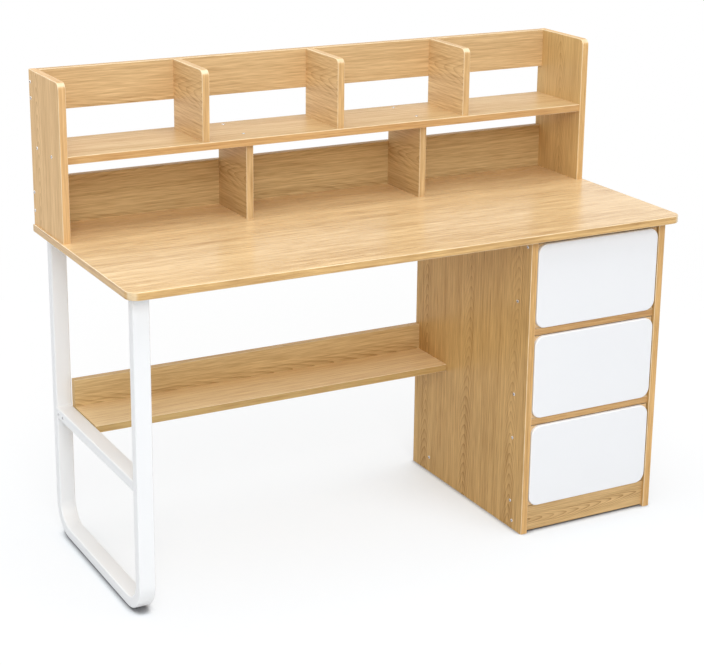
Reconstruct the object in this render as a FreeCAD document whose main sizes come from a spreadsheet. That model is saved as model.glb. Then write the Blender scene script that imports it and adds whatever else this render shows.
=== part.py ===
"""Student desk: a wooden top on a bent-tube sled leg and a three-drawer pedestal, with a shelf hutch on it.

Frame: origin on the floor under the middle of the top, +X to the desk's right, +Y to its back, +Z up.
The front of the desk faces -Y. All sizes are millimetres.
"""
import FreeCAD, Part
import math
import os
import Sketcher

SIZES = [
    # the top, and the boards that everything wooden is cut from
    ("desk_width", 1400, "across the top, left to right"),
    ("desk_depth", 600, "across the top, front to back"),
    ("desk_height", 750, "floor to the writing surface"),
    ("board", 18, "thickness of the wooden boards"),
    ("edge_round", 2, "radius on the edges that hands meet"),
    ("top_corner", 28, "radius of the two front corners of the top"),
    # the hutch that stands on the back of the top
    ("hutch_height", 360, "hutch above the writing surface"),
    ("hutch_depth", 195, "hutch front to back"),
    ("hutch_inset", 4, "hutch sides in from the ends of the top"),
    ("hutch_corner", 15, "radius of the upper front corners"),
    ("shelf_rise", 195, "top of the shelf above the writing surface"),
    ("shelf_setback", 3, "shelf front behind the fronts of the sides"),
    ("rail_height", 95, "upper back rail"),
    ("back_height", 110, "lower back board"),
    ("upper_setback", 10, "upper dividers behind the fronts of the sides"),
    ("upper_spacing", 345, "between the middles of the upper dividers"),
    ("lower_setback", 20, "lower dividers behind the fronts of the sides"),
    ("lower_spacing", 464, "between the middles of the two lower dividers"),
    # the pedestal under the right end
    ("pedestal_width", 380, "over the two side boards"),
    ("pedestal_inset", 30, "right side board in from the end of the top"),
    ("pedestal_setback", 25, "side boards behind the front of the top"),
    ("pedestal_rear_setback", 60, "side boards in front of the back of the top"),
    ("plinth_gap", 4, "plinth and rear foot clear of the floor"),
    ("plinth_clearance", 2, "plinth under the lowest drawer front"),
    ("floor_clearance", 3, "bottom board under the lowest drawer box"),
    ("inside_setback", 3, "bottom board and front stretcher behind the drawers' front boards"),
    ("foot_setback", 74, "rear foot in front of the side boards' rear edges"),
    ("rail_depth", 60, "rails and stretchers front to back"),
    ("thin_panel", 5, "back panel and drawer bottoms"),
    ("groove_depth", 6, "grooves that hold the thin panels"),
    ("back_panel_inset", 12, "back panel in front of the side boards' rear edges"),
    # the three drawers, which share the height under the top
    ("front_start", 68, "lower edge of the lowest drawer front above the floor"),
    ("front_gap", 20, "between one drawer front and the next"),
    ("finger_gap", 12, "upper drawer front under the top"),
    ("front_side_gap", 2, "drawer front to side board"),
    ("front_corner", 25, "radius of the drawer fronts' corners"),
    ("front_plate", 8, "white plate on the drawer front"),
    ("front_round", 3, "radius round the face of the white plate"),
    ("box_board", 12, "sides and back of the drawer box"),
    ("box_clearance", 42, "back panel behind the drawer box"),
    ("box_rise", 14, "drawer box above the lower edge of its front"),
    ("box_drop", 40, "drawer box below the upper edge of its front"),
    ("bottom_rise", 8, "drawer bottom above the lower edge of the box"),
    # ball-bearing slides, one on each side of each drawer
    ("slide_space", 13, "side board to drawer box"),
    ("slide_rise", 56, "middle of the slide above the lower edge of the front"),
    ("slide_setback", 10, "slide behind the front board of the drawer"),
    ("slide_rear_gap", 20, "slide in front of the rear end of the drawer box"),
    ("slide_steel", 1.2, "wall of the rolled members"),
    ("outer_height", 42, "outer member, top to bottom"),
    ("outer_flange", 9.5, "outer member, off the side board"),
    ("mid_height", 34, "middle member, top to bottom"),
    ("mid_start", 3.5, "middle member clear of the side board"),
    ("mid_end", 10.5, "far edge of the middle member from the side board"),
    ("inner_height", 26, "inner member, top to bottom"),
    ("inner_start", 6.5, "inner member clear of the side board"),
    ("running_gap", 0.3, "ball cage clear of the member that runs on it"),
    ("cage_length", 150, "each ball cage, along the slide"),
    ("cage_margin", 20, "ball cage in from the end of the middle member"),
    # the sled leg under the left end
    ("leg_inset", 20, "leg in from the end of the top"),
    ("leg_front_setback", 36, "front post behind the front of the top"),
    ("leg_rear_setback", 32, "rear post in front of the back of the top"),
    ("tube_width", 38, "tube across the desk"),
    ("tube_height", 25, "tube in the plane of its bends"),
    ("tube_wall", 1.5, "tube wall"),
    ("tube_corner", 1.8, "cut across the outside corners of the tube"),
    ("bend_radius", 75, "outside of the two bends"),
    ("glide_height", 3, "glides under the runner"),
    ("glide_length", 40, "glides along the runner"),
    ("glide_side", 3, "glides in from the sides of the runner"),
    ("glide_end", 80, "glides in from the outside of the posts"),
    ("plate_thickness", 3, "plates welded on the posts"),
    ("plate_width", 80, "welded plates, across the desk"),
    ("plate_depth", 60, "welded plates, front to back"),
    ("plate_corner", 6, "corners of the welded plates"),
    ("plate_screw_edge", 10, "screws in from the edges of the plates"),
    # the low shelf between leg and pedestal
    ("low_shelf_top", 318, "upper face of the low shelf"),
    ("low_shelf_lip", 2, "crossbar under the upper face of the low shelf"),
    ("low_shelf_depth", 137, "low shelf in front of its back board"),
    ("low_back_height", 84, "its back board, from the underside of the shelf"),
    # screw heads
    ("screw_head", 8, "across a screw head"),
    ("screw_rise", 1.4, "screw head proud of the surface"),
    ("rail_screw_upper", 28, "upper rail screw below the top of the hutch"),
    ("rail_screw_lower", 65, "lower rail screw below the top of the hutch"),
    ("shelf_screw_rear", 41, "rear shelf screw in from the back"),
    ("shelf_screw_front", 138, "front shelf screw in from the back"),
    ("back_screw_lower", 34, "lower screw of the back board above the writing surface"),
    ("back_screw_upper", 77, "upper screw of the back board above the writing surface"),
    ("divider_screw_rear", 26, "rear divider screw in from the back"),
    ("divider_screw_front", 140, "front divider screw in from the back"),
    ("panel_screw_drop", 19, "highest screw of the pedestal's side under the top"),
    ("panel_screw_edge", 17, "the same screw behind the front edge"),
    ("panel_screw_in", 51, "the column of screws behind the front edge"),
    ("slide_screw_top", 57, "screw above the lower edge of the top drawer front"),
    ("slide_screw_middle", 50, "screw above the lower edge of the middle drawer front"),
    ("slide_screw_bottom", 164, "screw above the lower edge of the bottom drawer front"),
    ("foot_screw", 21, "lowest front screw above the floor"),
    ("foot_screw_in", 41, "the same screw behind the front edge"),
    ("foot_screw_rear", 39, "screw of the rear foot above the floor"),
    ("crossbar_screw_gap", 29, "between the two screws of the crossbar"),
    ("stretcher_screw_in", 60, "screws of the stretchers in from the pedestal's sides"),
]

HEAD_SIDES = 12
DRAWERS = ("bottom", "middle", "top")
TOLERANCE = 0.01

document = FreeCAD.newDocument("student_desk")
sheet = document.addObject("Spreadsheet::Sheet", "Sizes")
for row, (alias, number, meaning) in enumerate(SIZES, start=1):
    sheet.set(f"A{row}", meaning)
    sheet.set(f"B{row}", str(number))
    sheet.setAlias(f"B{row}", alias)
document.recompute()

# Places and lengths that several pieces share, as expressions on the sheet.
LEFT_END = "(-Sizes.desk_width / 2)"
RIGHT_END = "(Sizes.desk_width / 2)"
FRONT = "(-Sizes.desk_depth / 2)"
BACK = "(Sizes.desk_depth / 2)"
SURFACE = "Sizes.desk_height"
UNDERSIDE = "(Sizes.desk_height - Sizes.board)"

HUTCH_FRONT = f"({BACK} - Sizes.hutch_depth)"
HUTCH_LEFT = f"({LEFT_END} + Sizes.hutch_inset)"
HUTCH_RIGHT = f"({RIGHT_END} - Sizes.hutch_inset)"
HUTCH_BAY_LEFT = f"({HUTCH_LEFT} + Sizes.board)"
HUTCH_BAY = "(Sizes.desk_width - 2 * Sizes.hutch_inset - 2 * Sizes.board)"
SHELF_UNDER = f"({SURFACE} + Sizes.shelf_rise - Sizes.board)"
RAIL_RISE = "(Sizes.hutch_height - Sizes.rail_height)"

PEDESTAL_DEPTH = "(Sizes.desk_depth - Sizes.pedestal_setback - Sizes.pedestal_rear_setback)"
PEDESTAL_RIGHT = f"({RIGHT_END} - Sizes.pedestal_inset)"
PEDESTAL_LEFT = f"({PEDESTAL_RIGHT} - Sizes.pedestal_width)"
PEDESTAL_MIDDLE = f"({PEDESTAL_RIGHT} - Sizes.pedestal_width / 2)"
PEDESTAL_FRONT = f"({FRONT} + Sizes.pedestal_setback)"
PEDESTAL_BACK = f"({BACK} - Sizes.pedestal_rear_setback)"
BAY_LEFT = f"({PEDESTAL_LEFT} + Sizes.board)"
BAY_WIDTH = "(Sizes.pedestal_width - 2 * Sizes.board)"
BOX_FACE = f"({PEDESTAL_FRONT} + Sizes.front_plate)"
BOX_START = f"({BOX_FACE} + Sizes.board)"
INSIDE_FRONT = f"({BOX_START} + Sizes.inside_setback)"
BACK_PANEL_FRONT = f"({PEDESTAL_BACK} - Sizes.back_panel_inset - Sizes.thin_panel)"
INSIDE_DEPTH = f"({BACK_PANEL_FRONT} - {INSIDE_FRONT})"
PLINTH_TOP = "(Sizes.front_start - Sizes.plinth_clearance)"
FLOOR_TOP = "(Sizes.front_start + Sizes.box_rise - Sizes.floor_clearance)"
FLOOR_UNDER = f"({FLOOR_TOP} - Sizes.board)"
FOOT_FRONT = f"({PEDESTAL_DEPTH} - Sizes.foot_setback - Sizes.board)"

FRONTS = f"({UNDERSIDE} - Sizes.finger_gap - Sizes.front_start)"
FRONT_HEIGHT = f"(({FRONTS} - 2 * Sizes.front_gap) / 3)"
FRONT_WIDTH = f"({BAY_WIDTH} - 2 * Sizes.front_side_gap)"
FRONT_LEFT = f"({BAY_LEFT} + Sizes.front_side_gap)"
BOX_DEPTH = f"({BACK_PANEL_FRONT} - Sizes.box_clearance - {BOX_START})"
SLIDE_LENGTH = f"({BOX_DEPTH} - Sizes.slide_setback - Sizes.slide_rear_gap)"
BOX_HEIGHT = f"({FRONT_HEIGHT} - Sizes.box_rise - Sizes.box_drop)"
BOX_WIDTH = f"({BAY_WIDTH} - 2 * Sizes.slide_space)"
BOX_LEFT = f"({BAY_LEFT} + Sizes.slide_space)"
BOX_INSIDE = f"({BOX_WIDTH} - 2 * Sizes.box_board)"
PANEL_WIDTH = f"({BOX_INSIDE} + 2 * Sizes.groove_depth)"

LEG_LEFT = f"({LEFT_END} + Sizes.leg_inset)"
LEG_RIGHT = f"({LEG_LEFT} + Sizes.tube_width)"
LEG_FRONT = f"({FRONT} + Sizes.leg_front_setback)"
LEG_DEPTH = "(Sizes.desk_depth - Sizes.leg_front_setback - Sizes.leg_rear_setback)"
LEG_BACK = f"({LEG_FRONT} + {LEG_DEPTH})"
PLATE_UNDER = f"({UNDERSIDE} - Sizes.plate_thickness)"
CROSSBAR_UNDER = "(Sizes.low_shelf_top - Sizes.low_shelf_lip - Sizes.tube_height)"
CROSSBAR_MIDDLE = f"({CROSSBAR_UNDER} + Sizes.tube_height / 2)"
LOW_SHELF_UNDER = "(Sizes.low_shelf_top - Sizes.board)"
LOW_SHELF_LENGTH = f"({PEDESTAL_LEFT} - {LEG_RIGHT})"
LOW_BACK_FRONT = f"({PEDESTAL_BACK} - Sizes.board)"

subparts = []


def value(text):
    """The number that an expression on the sheet comes to."""
    return float(sheet.evalExpression(text))


def near(a, b):
    return abs(a - b) < TOLERANCE


def keep(piece):
    """Counts an object as one sub-part of the desk."""
    subparts.append(piece)
    return piece


def place(piece, x, y, z):
    """Binds an object's position to three expressions."""
    for axis, text in zip("xyz", (x, y, z)):
        piece.setExpression(f"Placement.Base.{axis}", text)


def new_body(node, x, y, z):
    body = document.addObject("PartDesign::Body", node)
    body.Label = node
    place(body, x, y, z)
    return body


def sketch_on(body, name, role, offset=None):
    """An empty sketch on one of the body's own planes, moved along its normal by offset."""
    sketch = body.newObject("Sketcher::SketchObject", name)
    plane = next(plane for plane in body.Origin.OriginFeatures if plane.Role == role)
    sketch.AttachmentSupport = [(plane, "")]
    sketch.MapMode = "FlatFace"
    if offset:
        sketch.setExpression("AttachmentOffset.Base.z", offset)
    return sketch


def measure(sketch, kind, where, text, name):
    """Adds one dimension to a sketch and binds it to an expression."""
    number = sketch.addConstraint(Sketcher.Constraint(kind, *where, value(text)))
    sketch.renameConstraint(number, name)
    sketch.setExpression(f"Constraints.{name}", text)


def draw_polygon(sketch, name, corners):
    """A closed outline whose corners each follow a pair of expressions."""
    points = [FreeCAD.Vector(value(x), value(y), 0) for x, y in corners]
    first = sketch.GeometryCount
    count = len(points)
    for number in range(count):
        sketch.addGeometry(Part.LineSegment(points[number], points[(number + 1) % count]))
    for number, (x, y) in enumerate(corners):
        following = first + (number + 1) % count
        sketch.addConstraint(Sketcher.Constraint("Coincident", first + number, 2, following, 1))
        measure(sketch, "DistanceX", (-1, 1, first + number, 1), x, f"{name}X{number}")
        measure(sketch, "DistanceY", (-1, 1, first + number, 1), y, f"{name}Y{number}")


def draw_rectangle(sketch, name, wide, tall, left="0", low="0"):
    right = f"({left} + {wide})"
    high = f"({low} + {tall})"
    draw_polygon(sketch, name, [(left, low), (right, low), (right, high), (left, high)])


def add_side_and_corner(sketch, start, end, centre, radius, side):
    """One straight side of a rounded rectangle, and the quarter circle that follows it."""
    sketch.addGeometry(Part.LineSegment(FreeCAD.Vector(*start, 0), FreeCAD.Vector(*end, 0)))
    circle = Part.Circle(FreeCAD.Vector(*centre, 0), FreeCAD.Vector(0, 0, 1), radius)
    quarter = math.pi / 2
    sketch.addGeometry(Part.ArcOfCircle(circle, (side - 1) * quarter, side * quarter))


def tie_side_and_corner(sketch, first, side):
    """Makes one side of a rounded rectangle straight, and tangent to the corners at its ends."""
    line = first + 2 * side
    following = first + (2 * side + 2) % 8
    sketch.addConstraint(Sketcher.Constraint("Tangent", line, 2, line + 1, 1))
    sketch.addConstraint(Sketcher.Constraint("Tangent", line + 1, 2, following, 1))
    sketch.addConstraint(Sketcher.Constraint("Vertical" if side % 2 else "Horizontal", line))
    if side:
        sketch.addConstraint(Sketcher.Constraint("Equal", first + 1, line + 1))


def draw_rounded(sketch, name, wide, tall, radius, left="0", low="0"):
    """A rectangle with four equal rounded corners."""
    r = value(radius)
    x0, y0 = value(left), value(low)
    x1, y1 = x0 + value(wide), y0 + value(tall)
    first = sketch.GeometryCount
    add_side_and_corner(sketch, (x0 + r, y0), (x1 - r, y0), (x1 - r, y0 + r), r, 0)
    add_side_and_corner(sketch, (x1, y0 + r), (x1, y1 - r), (x1 - r, y1 - r), r, 1)
    add_side_and_corner(sketch, (x1 - r, y1), (x0 + r, y1), (x0 + r, y1 - r), r, 2)
    add_side_and_corner(sketch, (x0, y1 - r), (x0, y0 + r), (x0 + r, y0 + r), r, 3)
    for side in range(4):
        tie_side_and_corner(sketch, first, side)
    measure(sketch, "Radius", (first + 1,), radius, f"{name}Radius")
    measure(sketch, "DistanceX", (-1, 1, first + 6, 1), left, f"{name}Left")
    measure(sketch, "DistanceY", (-1, 1, first, 1), low, f"{name}Low")
    measure(sketch, "DistanceX", (first + 6, 1, first + 2, 1), wide, f"{name}Wide")
    measure(sketch, "DistanceY", (first, 1, first + 4, 1), tall, f"{name}Tall")


def pad(body, sketch, length, name="Board", reverse=False):
    feature = body.newObject("PartDesign::Pad", name)
    feature.Profile = sketch
    feature.Reversed = reverse
    feature.setExpression("Length", length)
    document.recompute()
    return feature


def pocket(body, sketch, depth, name, reverse=False):
    """Cuts a sketch into the body, and makes sure that it took material away."""
    before = body.Shape.Volume
    feature = body.newObject("PartDesign::Pocket", name)
    feature.Profile = sketch
    feature.Reversed = reverse
    feature.setExpression("Length", depth)
    document.recompute()
    if body.Shape.Volume >= before - TOLERANCE:
        raise RuntimeError(f"{name} cuts nothing from {body.Label}")
    return feature


def edges_where(shape, test):
    """Names of the edges whose ends and middle all pass a test."""
    names = []
    for number, edge in enumerate(shape.Edges, start=1):
        first, last = edge.FirstParameter, edge.LastParameter
        points = [edge.valueAt(first + (last - first) * share) for share in (0, 0.5, 1)]
        if all(test(point) for point in points):
            names.append(f"Edge{number}")
    return names


def fillet(body, name, radius, test):
    """Rounds the edges that pass a test of their points, in the body's own frame."""
    base = body.Tip
    names = edges_where(base.Shape, test)
    if not names:
        raise RuntimeError(f"{name} finds no edge on {body.Label}")
    feature = body.newObject("PartDesign::Fillet", name)
    feature.Base = (base, names)
    feature.setExpression("Radius", radius)
    document.recompute()
    return feature


def soften(body, name, test):
    return fillet(body, name, "Sizes.edge_round", test)


def level_board(node, wide, deep, at, thick="Sizes.board"):
    """A board that lies flat: its outline is drawn on the ground plane and padded up."""
    body = keep(new_body(node, *at))
    outline = sketch_on(body, "Outline", "XY_Plane")
    draw_rectangle(outline, "Board", wide, deep)
    pad(body, outline, thick)
    return body


def facing_board(node, wide, tall, at, thick="Sizes.board"):
    """A board that faces the front of the desk, padded towards the back."""
    body = keep(new_body(node, *at))
    outline = sketch_on(body, "Outline", "XZ_Plane")
    draw_rectangle(outline, "Board", wide, tall)
    pad(body, outline, thick, reverse=True)
    return body


def side_board(node, deep, tall, at, thick="Sizes.board"):
    """A board that faces the ends of the desk, padded to the right."""
    body = keep(new_body(node, *at))
    outline = sketch_on(body, "Outline", "YZ_Plane")
    draw_rectangle(outline, "Board", deep, tall)
    pad(body, outline, thick)
    return body


def screw_head(name, direction, at):
    """One screw head: it stands on the surface at the given place and rises along the direction."""
    head = document.addObject("Part::Prism", name)
    head.Polygon = HEAD_SIDES
    head.setExpression("Circumradius", "Sizes.screw_head / 2")
    head.setExpression("Height", "Sizes.screw_rise")
    turn = FreeCAD.Rotation(FreeCAD.Vector(0, 0, 1), direction)
    head.Placement = FreeCAD.Placement(FreeCAD.Vector(), turn)
    place(head, *at)
    return head


def group(node, pieces):
    """One sub-part made of several separate solids."""
    compound = document.addObject("Part::Compound", node)
    compound.Label = node
    compound.Links = pieces
    return keep(compound)


# The top: two rounded front corners, and its whole outline softened.
def make_top():
    at = (LEFT_END, FRONT, UNDERSIDE)
    body = level_board("tabletop", "Sizes.desk_width", "Sizes.desk_depth", at)
    thick = value("Sizes.board")
    width = value("Sizes.desk_width")
    fillet(body, "FrontCorners", "Sizes.top_corner",
           lambda p: near(p.y, 0) and (near(p.x, 0) or near(p.x, width)))
    soften(body, "OutlineEdges", lambda p: near(p.z, 0) or near(p.z, thick))


# The hutch.
def round_outer_edges(body, tall):
    """Rounds the upper front corner of a board that stands on edge, then its front and top edges."""
    height = value(tall)
    thick = value("Sizes.board")
    fillet(body, "FrontCorner", "Sizes.hutch_corner", lambda p: near(p.y, 0) and near(p.z, height))
    corner = value("Sizes.hutch_corner")
    soften(body, "OuterEdges",
           lambda p: (near(p.x, 0) or near(p.x, thick)) and (near(p.z, height) or p.y < corner))


def make_hutch_side(node, left):
    at = (left, HUTCH_FRONT, SURFACE)
    body = side_board(node, "Sizes.hutch_depth", "Sizes.hutch_height", at)
    round_outer_edges(body, "Sizes.hutch_height")


def make_hutch_shelf():
    deep = "(Sizes.hutch_depth - Sizes.shelf_setback)"
    at = (HUTCH_BAY_LEFT, f"({HUTCH_FRONT} + Sizes.shelf_setback)", SHELF_UNDER)
    body = level_board("hutch_shelf", HUTCH_BAY, deep, at)
    depth = value(deep)
    thick = value("Sizes.board")
    soften(body, "LongEdges",
           lambda p: (near(p.y, 0) or near(p.y, depth)) and (near(p.z, 0) or near(p.z, thick)))


def make_hutch_rail():
    at = (HUTCH_BAY_LEFT, f"({BACK} - Sizes.board)", f"({SURFACE} + {RAIL_RISE})")
    body = facing_board("hutch_top_rail", HUTCH_BAY, "Sizes.rail_height", at)
    height = value("Sizes.rail_height")
    thick = value("Sizes.board")
    soften(body, "LongEdges",
           lambda p: (near(p.y, 0) or near(p.y, thick)) and (near(p.z, 0) or near(p.z, height)))


def make_hutch_back():
    at = (HUTCH_BAY_LEFT, f"({BACK} - Sizes.board)", SURFACE)
    body = facing_board("hutch_back_board", HUTCH_BAY, "Sizes.back_height", at)
    height = value("Sizes.back_height")
    thick = value("Sizes.board")
    soften(body, "TopEdges", lambda p: near(p.z, height) and (near(p.y, 0) or near(p.y, thick)))


def make_upper_divider(node, middle):
    """It stands on the shelf and reaches back to the rail, with the sides' rounded corner."""
    deep = "(Sizes.hutch_depth - Sizes.board - Sizes.upper_setback)"
    tall = "(Sizes.hutch_height - Sizes.shelf_rise)"
    at = (f"({middle} - Sizes.board / 2)", f"({HUTCH_FRONT} + Sizes.upper_setback)",
          f"({SURFACE} + Sizes.shelf_rise)")
    round_outer_edges(side_board(node, deep, tall, at), tall)


def make_lower_divider(node, middle):
    """It stands on the top and carries the shelf."""
    deep = "(Sizes.hutch_depth - Sizes.board - Sizes.lower_setback)"
    tall = "(Sizes.shelf_rise - Sizes.board)"
    at = (f"({middle} - Sizes.board / 2)", f"({HUTCH_FRONT} + Sizes.lower_setback)", SURFACE)
    body = side_board(node, deep, tall, at)
    thick = value("Sizes.board")
    soften(body, "FrontEdges", lambda p: near(p.y, 0) and (near(p.x, 0) or near(p.x, thick)))


def make_hutch():
    make_hutch_side("hutch_side_left", HUTCH_LEFT)
    make_hutch_side("hutch_side_right", f"({HUTCH_RIGHT} - Sizes.board)")
    make_hutch_shelf()
    make_hutch_rail()
    make_hutch_back()
    make_upper_divider("upper_divider_left", "(-Sizes.upper_spacing)")
    make_upper_divider("upper_divider_middle", "(0)")
    make_upper_divider("upper_divider_right", "(Sizes.upper_spacing)")
    make_lower_divider("lower_divider_left", "(-Sizes.lower_spacing / 2)")
    make_lower_divider("lower_divider_right", "(Sizes.lower_spacing / 2)")


# The pedestal.
def make_pedestal_side(node, left, inside_on_right):
    """A side board with rounded upright edges and a groove inside for the back panel."""
    body = side_board(node, PEDESTAL_DEPTH, UNDERSIDE, (left, PEDESTAL_FRONT, "0"))
    thick = value("Sizes.board")
    depth = value(PEDESTAL_DEPTH)
    soften(body, "UprightEdges",
           lambda p: (near(p.x, 0) or near(p.x, thick)) and (near(p.y, 0) or near(p.y, depth)))
    groove = sketch_on(body, "GrooveOutline", "YZ_Plane", "Sizes.board" if inside_on_right else None)
    start = f"({BACK_PANEL_FRONT} - {PEDESTAL_FRONT})"
    draw_rectangle(groove, "Groove", "Sizes.thin_panel", f"({UNDERSIDE} - {FLOOR_UNDER})", start, FLOOR_UNDER)
    pocket(body, groove, "Sizes.groove_depth", "BackGroove", reverse=not inside_on_right)


def make_back_panel():
    wide = f"({BAY_WIDTH} + 2 * Sizes.groove_depth)"
    at = (f"({BAY_LEFT} - Sizes.groove_depth)", BACK_PANEL_FRONT, FLOOR_UNDER)
    facing_board("pedestal_back", wide, f"({UNDERSIDE} - {FLOOR_UNDER})", at, "Sizes.thin_panel")


def make_pedestal_base():
    """The bottom board, the plinth in front of it and the foot under its rear."""
    level_board("pedestal_bottom", BAY_WIDTH, INSIDE_DEPTH, (BAY_LEFT, INSIDE_FRONT, FLOOR_UNDER))
    tall = f"({PLINTH_TOP} - Sizes.plinth_gap)"
    facing_board("pedestal_plinth", BAY_WIDTH, tall, (BAY_LEFT, BOX_FACE, "Sizes.plinth_gap"))
    tall = f"({FLOOR_UNDER} - Sizes.plinth_gap)"
    at = (BAY_LEFT, f"({PEDESTAL_FRONT} + {FOOT_FRONT})", "Sizes.plinth_gap")
    facing_board("pedestal_rear_foot", BAY_WIDTH, tall, at)


def make_drawer_rail(node, low):
    """A rail in the middle of the gap that starts at low."""
    at = (BAY_LEFT, BOX_FACE, f"({low} + (Sizes.front_gap - Sizes.board) / 2)")
    body = level_board(node, BAY_WIDTH, "Sizes.rail_depth", at)
    thick = value("Sizes.board")
    soften(body, "FrontEdges", lambda p: near(p.y, 0) and (near(p.z, 0) or near(p.z, thick)))


def make_stretcher(node, start):
    """A board across the pedestal, screwed up to the top."""
    at = (BAY_LEFT, start, f"({UNDERSIDE} - Sizes.board)")
    level_board(node, BAY_WIDTH, "Sizes.rail_depth", at)


def make_pedestal():
    make_pedestal_side("pedestal_side_left", PEDESTAL_LEFT, True)
    make_pedestal_side("pedestal_side_right", f"({PEDESTAL_RIGHT} - Sizes.board)", False)
    make_back_panel()
    make_pedestal_base()
    make_drawer_rail("drawer_rail_lower", f"({front_start(0)} + {FRONT_HEIGHT})")
    make_drawer_rail("drawer_rail_upper", f"({front_start(1)} + {FRONT_HEIGHT})")
    make_stretcher("pedestal_stretcher_front", INSIDE_FRONT)
    make_stretcher("pedestal_stretcher_rear", f"({BACK_PANEL_FRONT} - Sizes.rail_depth)")


# One drawer: a white plate on a wooden box with a thin bottom in grooves.
def front_start(order):
    """The lower edge of a drawer front, counted from the bottom."""
    return f"(Sizes.front_start + {order} * ({FRONT_HEIGHT} + Sizes.front_gap))"


def make_drawer_front(name, low):
    body = keep(new_body(f"{name}_front", FRONT_LEFT, PEDESTAL_FRONT, low))
    outline = sketch_on(body, "Outline", "XZ_Plane")
    draw_rounded(outline, "Plate", FRONT_WIDTH, FRONT_HEIGHT, "Sizes.front_corner")
    pad(body, outline, "Sizes.front_plate", reverse=True)
    fillet(body, "FaceEdge", "Sizes.front_round", lambda p: near(p.y, 0))


def cut_groove(body, sketch, length, start="0", low="Sizes.bottom_rise", reverse=False):
    """The groove for the drawer bottom, low on a board of the box."""
    draw_rectangle(sketch, "Groove", length, "Sizes.thin_panel", start, low)
    pocket(body, sketch, "Sizes.groove_depth", "BottomGroove", reverse)


def make_box_front(name, low):
    at = (FRONT_LEFT, BOX_FACE, low)
    body = facing_board(f"{name}_box_front", FRONT_WIDTH, FRONT_HEIGHT, at)
    sketch = sketch_on(body, "GrooveOutline", "XZ_Plane", "(-Sizes.board)")
    start = f"({BOX_LEFT} + Sizes.box_board - Sizes.groove_depth - {FRONT_LEFT})"
    cut_groove(body, sketch, PANEL_WIDTH, start, "(Sizes.box_rise + Sizes.bottom_rise)", reverse=True)


def make_box_side(name, side, left, low):
    at = (left, BOX_START, f"({low} + Sizes.box_rise)")
    body = side_board(f"{name}_side_{side}", BOX_DEPTH, BOX_HEIGHT, at, "Sizes.box_board")
    height = value(BOX_HEIGHT)
    thick = value("Sizes.box_board")
    soften(body, "TopEdges", lambda p: near(p.z, height) and (near(p.x, 0) or near(p.x, thick)))
    inside_on_right = side == "left"
    sketch = sketch_on(body, "GrooveOutline", "YZ_Plane", "Sizes.box_board" if inside_on_right else None)
    cut_groove(body, sketch, BOX_DEPTH, reverse=not inside_on_right)


def make_box_back(name, low):
    rear = f"({BOX_START} + {BOX_DEPTH} - Sizes.box_board)"
    at = (f"({BOX_LEFT} + Sizes.box_board)", rear, f"({low} + Sizes.box_rise)")
    body = facing_board(f"{name}_back", BOX_INSIDE, BOX_HEIGHT, at, "Sizes.box_board")
    height = value(BOX_HEIGHT)
    thick = value("Sizes.box_board")
    soften(body, "TopEdges", lambda p: near(p.z, height) and (near(p.y, 0) or near(p.y, thick)))
    cut_groove(body, sketch_on(body, "GrooveOutline", "XZ_Plane"), BOX_INSIDE)


def make_box_bottom(name, low):
    deep = f"({BOX_DEPTH} - Sizes.box_board + 2 * Sizes.groove_depth)"
    at = (f"({BOX_LEFT} + Sizes.box_board - Sizes.groove_depth)", f"({BOX_START} - Sizes.groove_depth)",
          f"({low} + Sizes.box_rise + Sizes.bottom_rise)")
    level_board(f"{name}_bottom", PANEL_WIDTH, deep, at, "Sizes.thin_panel")


def make_drawer(name, low):
    make_drawer_front(name, low)
    make_box_front(name, low)
    make_box_side(name, "left", BOX_LEFT, low)
    make_box_side(name, "right", f"({BOX_LEFT} + {BOX_WIDTH} - Sizes.box_board)", low)
    make_box_back(name, low)
    make_box_bottom(name, low)


# One pair of ball-bearing slides: rolled members that nest in one another.
def draw_channel(sketch, back, lips, height):
    """A channel section: its web stands at back, and its two flanges reach to lips."""
    steel = "Sizes.slide_steel"
    sign = "+" if value(lips) > value(back) else "-"
    web = f"({back} {sign} {steel})"
    high = f"({height} / 2)"
    low = f"(-{height} / 2)"
    draw_polygon(sketch, "Channel", [
        (back, low), (lips, low), (lips, f"({low} + {steel})"), (web, f"({low} + {steel})"),
        (web, f"({high} - {steel})"), (lips, f"({high} - {steel})"), (lips, high), (back, high),
    ])


def add_cage(body, name, low, tall, start):
    """A ball cage: a strip along part of the middle member's flange."""
    sketch = sketch_on(body, name + "Outline", "XZ_Plane", f"(-{start})")
    wide = "(Sizes.outer_flange - Sizes.inner_start)"
    draw_rectangle(sketch, name, wide, tall, "Sizes.inner_start", low)
    pad(body, sketch, "Sizes.cage_length", name, reverse=True)


def add_cages(body):
    """Cages outside the flanges at the rear of the middle member, and inside them at the front."""
    rear = f"({SLIDE_LENGTH} - Sizes.cage_margin - Sizes.cage_length)"
    spare = "(Sizes.slide_steel + Sizes.running_gap)"
    outside = f"((Sizes.outer_height - Sizes.mid_height) / 2 - {spare})"
    inside = f"((Sizes.mid_height - Sizes.inner_height) / 2 - {spare})"
    above = "(Sizes.inner_height / 2 + Sizes.running_gap)"
    add_cage(body, "CageAbove", "(Sizes.mid_height / 2)", outside, rear)
    add_cage(body, "CageBelow", f"(-Sizes.mid_height / 2 - {outside})", outside, rear)
    add_cage(body, "CageUnderLip", above, inside, "Sizes.cage_margin")
    add_cage(body, "CageOverLip", f"(-{above} - {inside})", inside, "Sizes.cage_margin")


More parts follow.
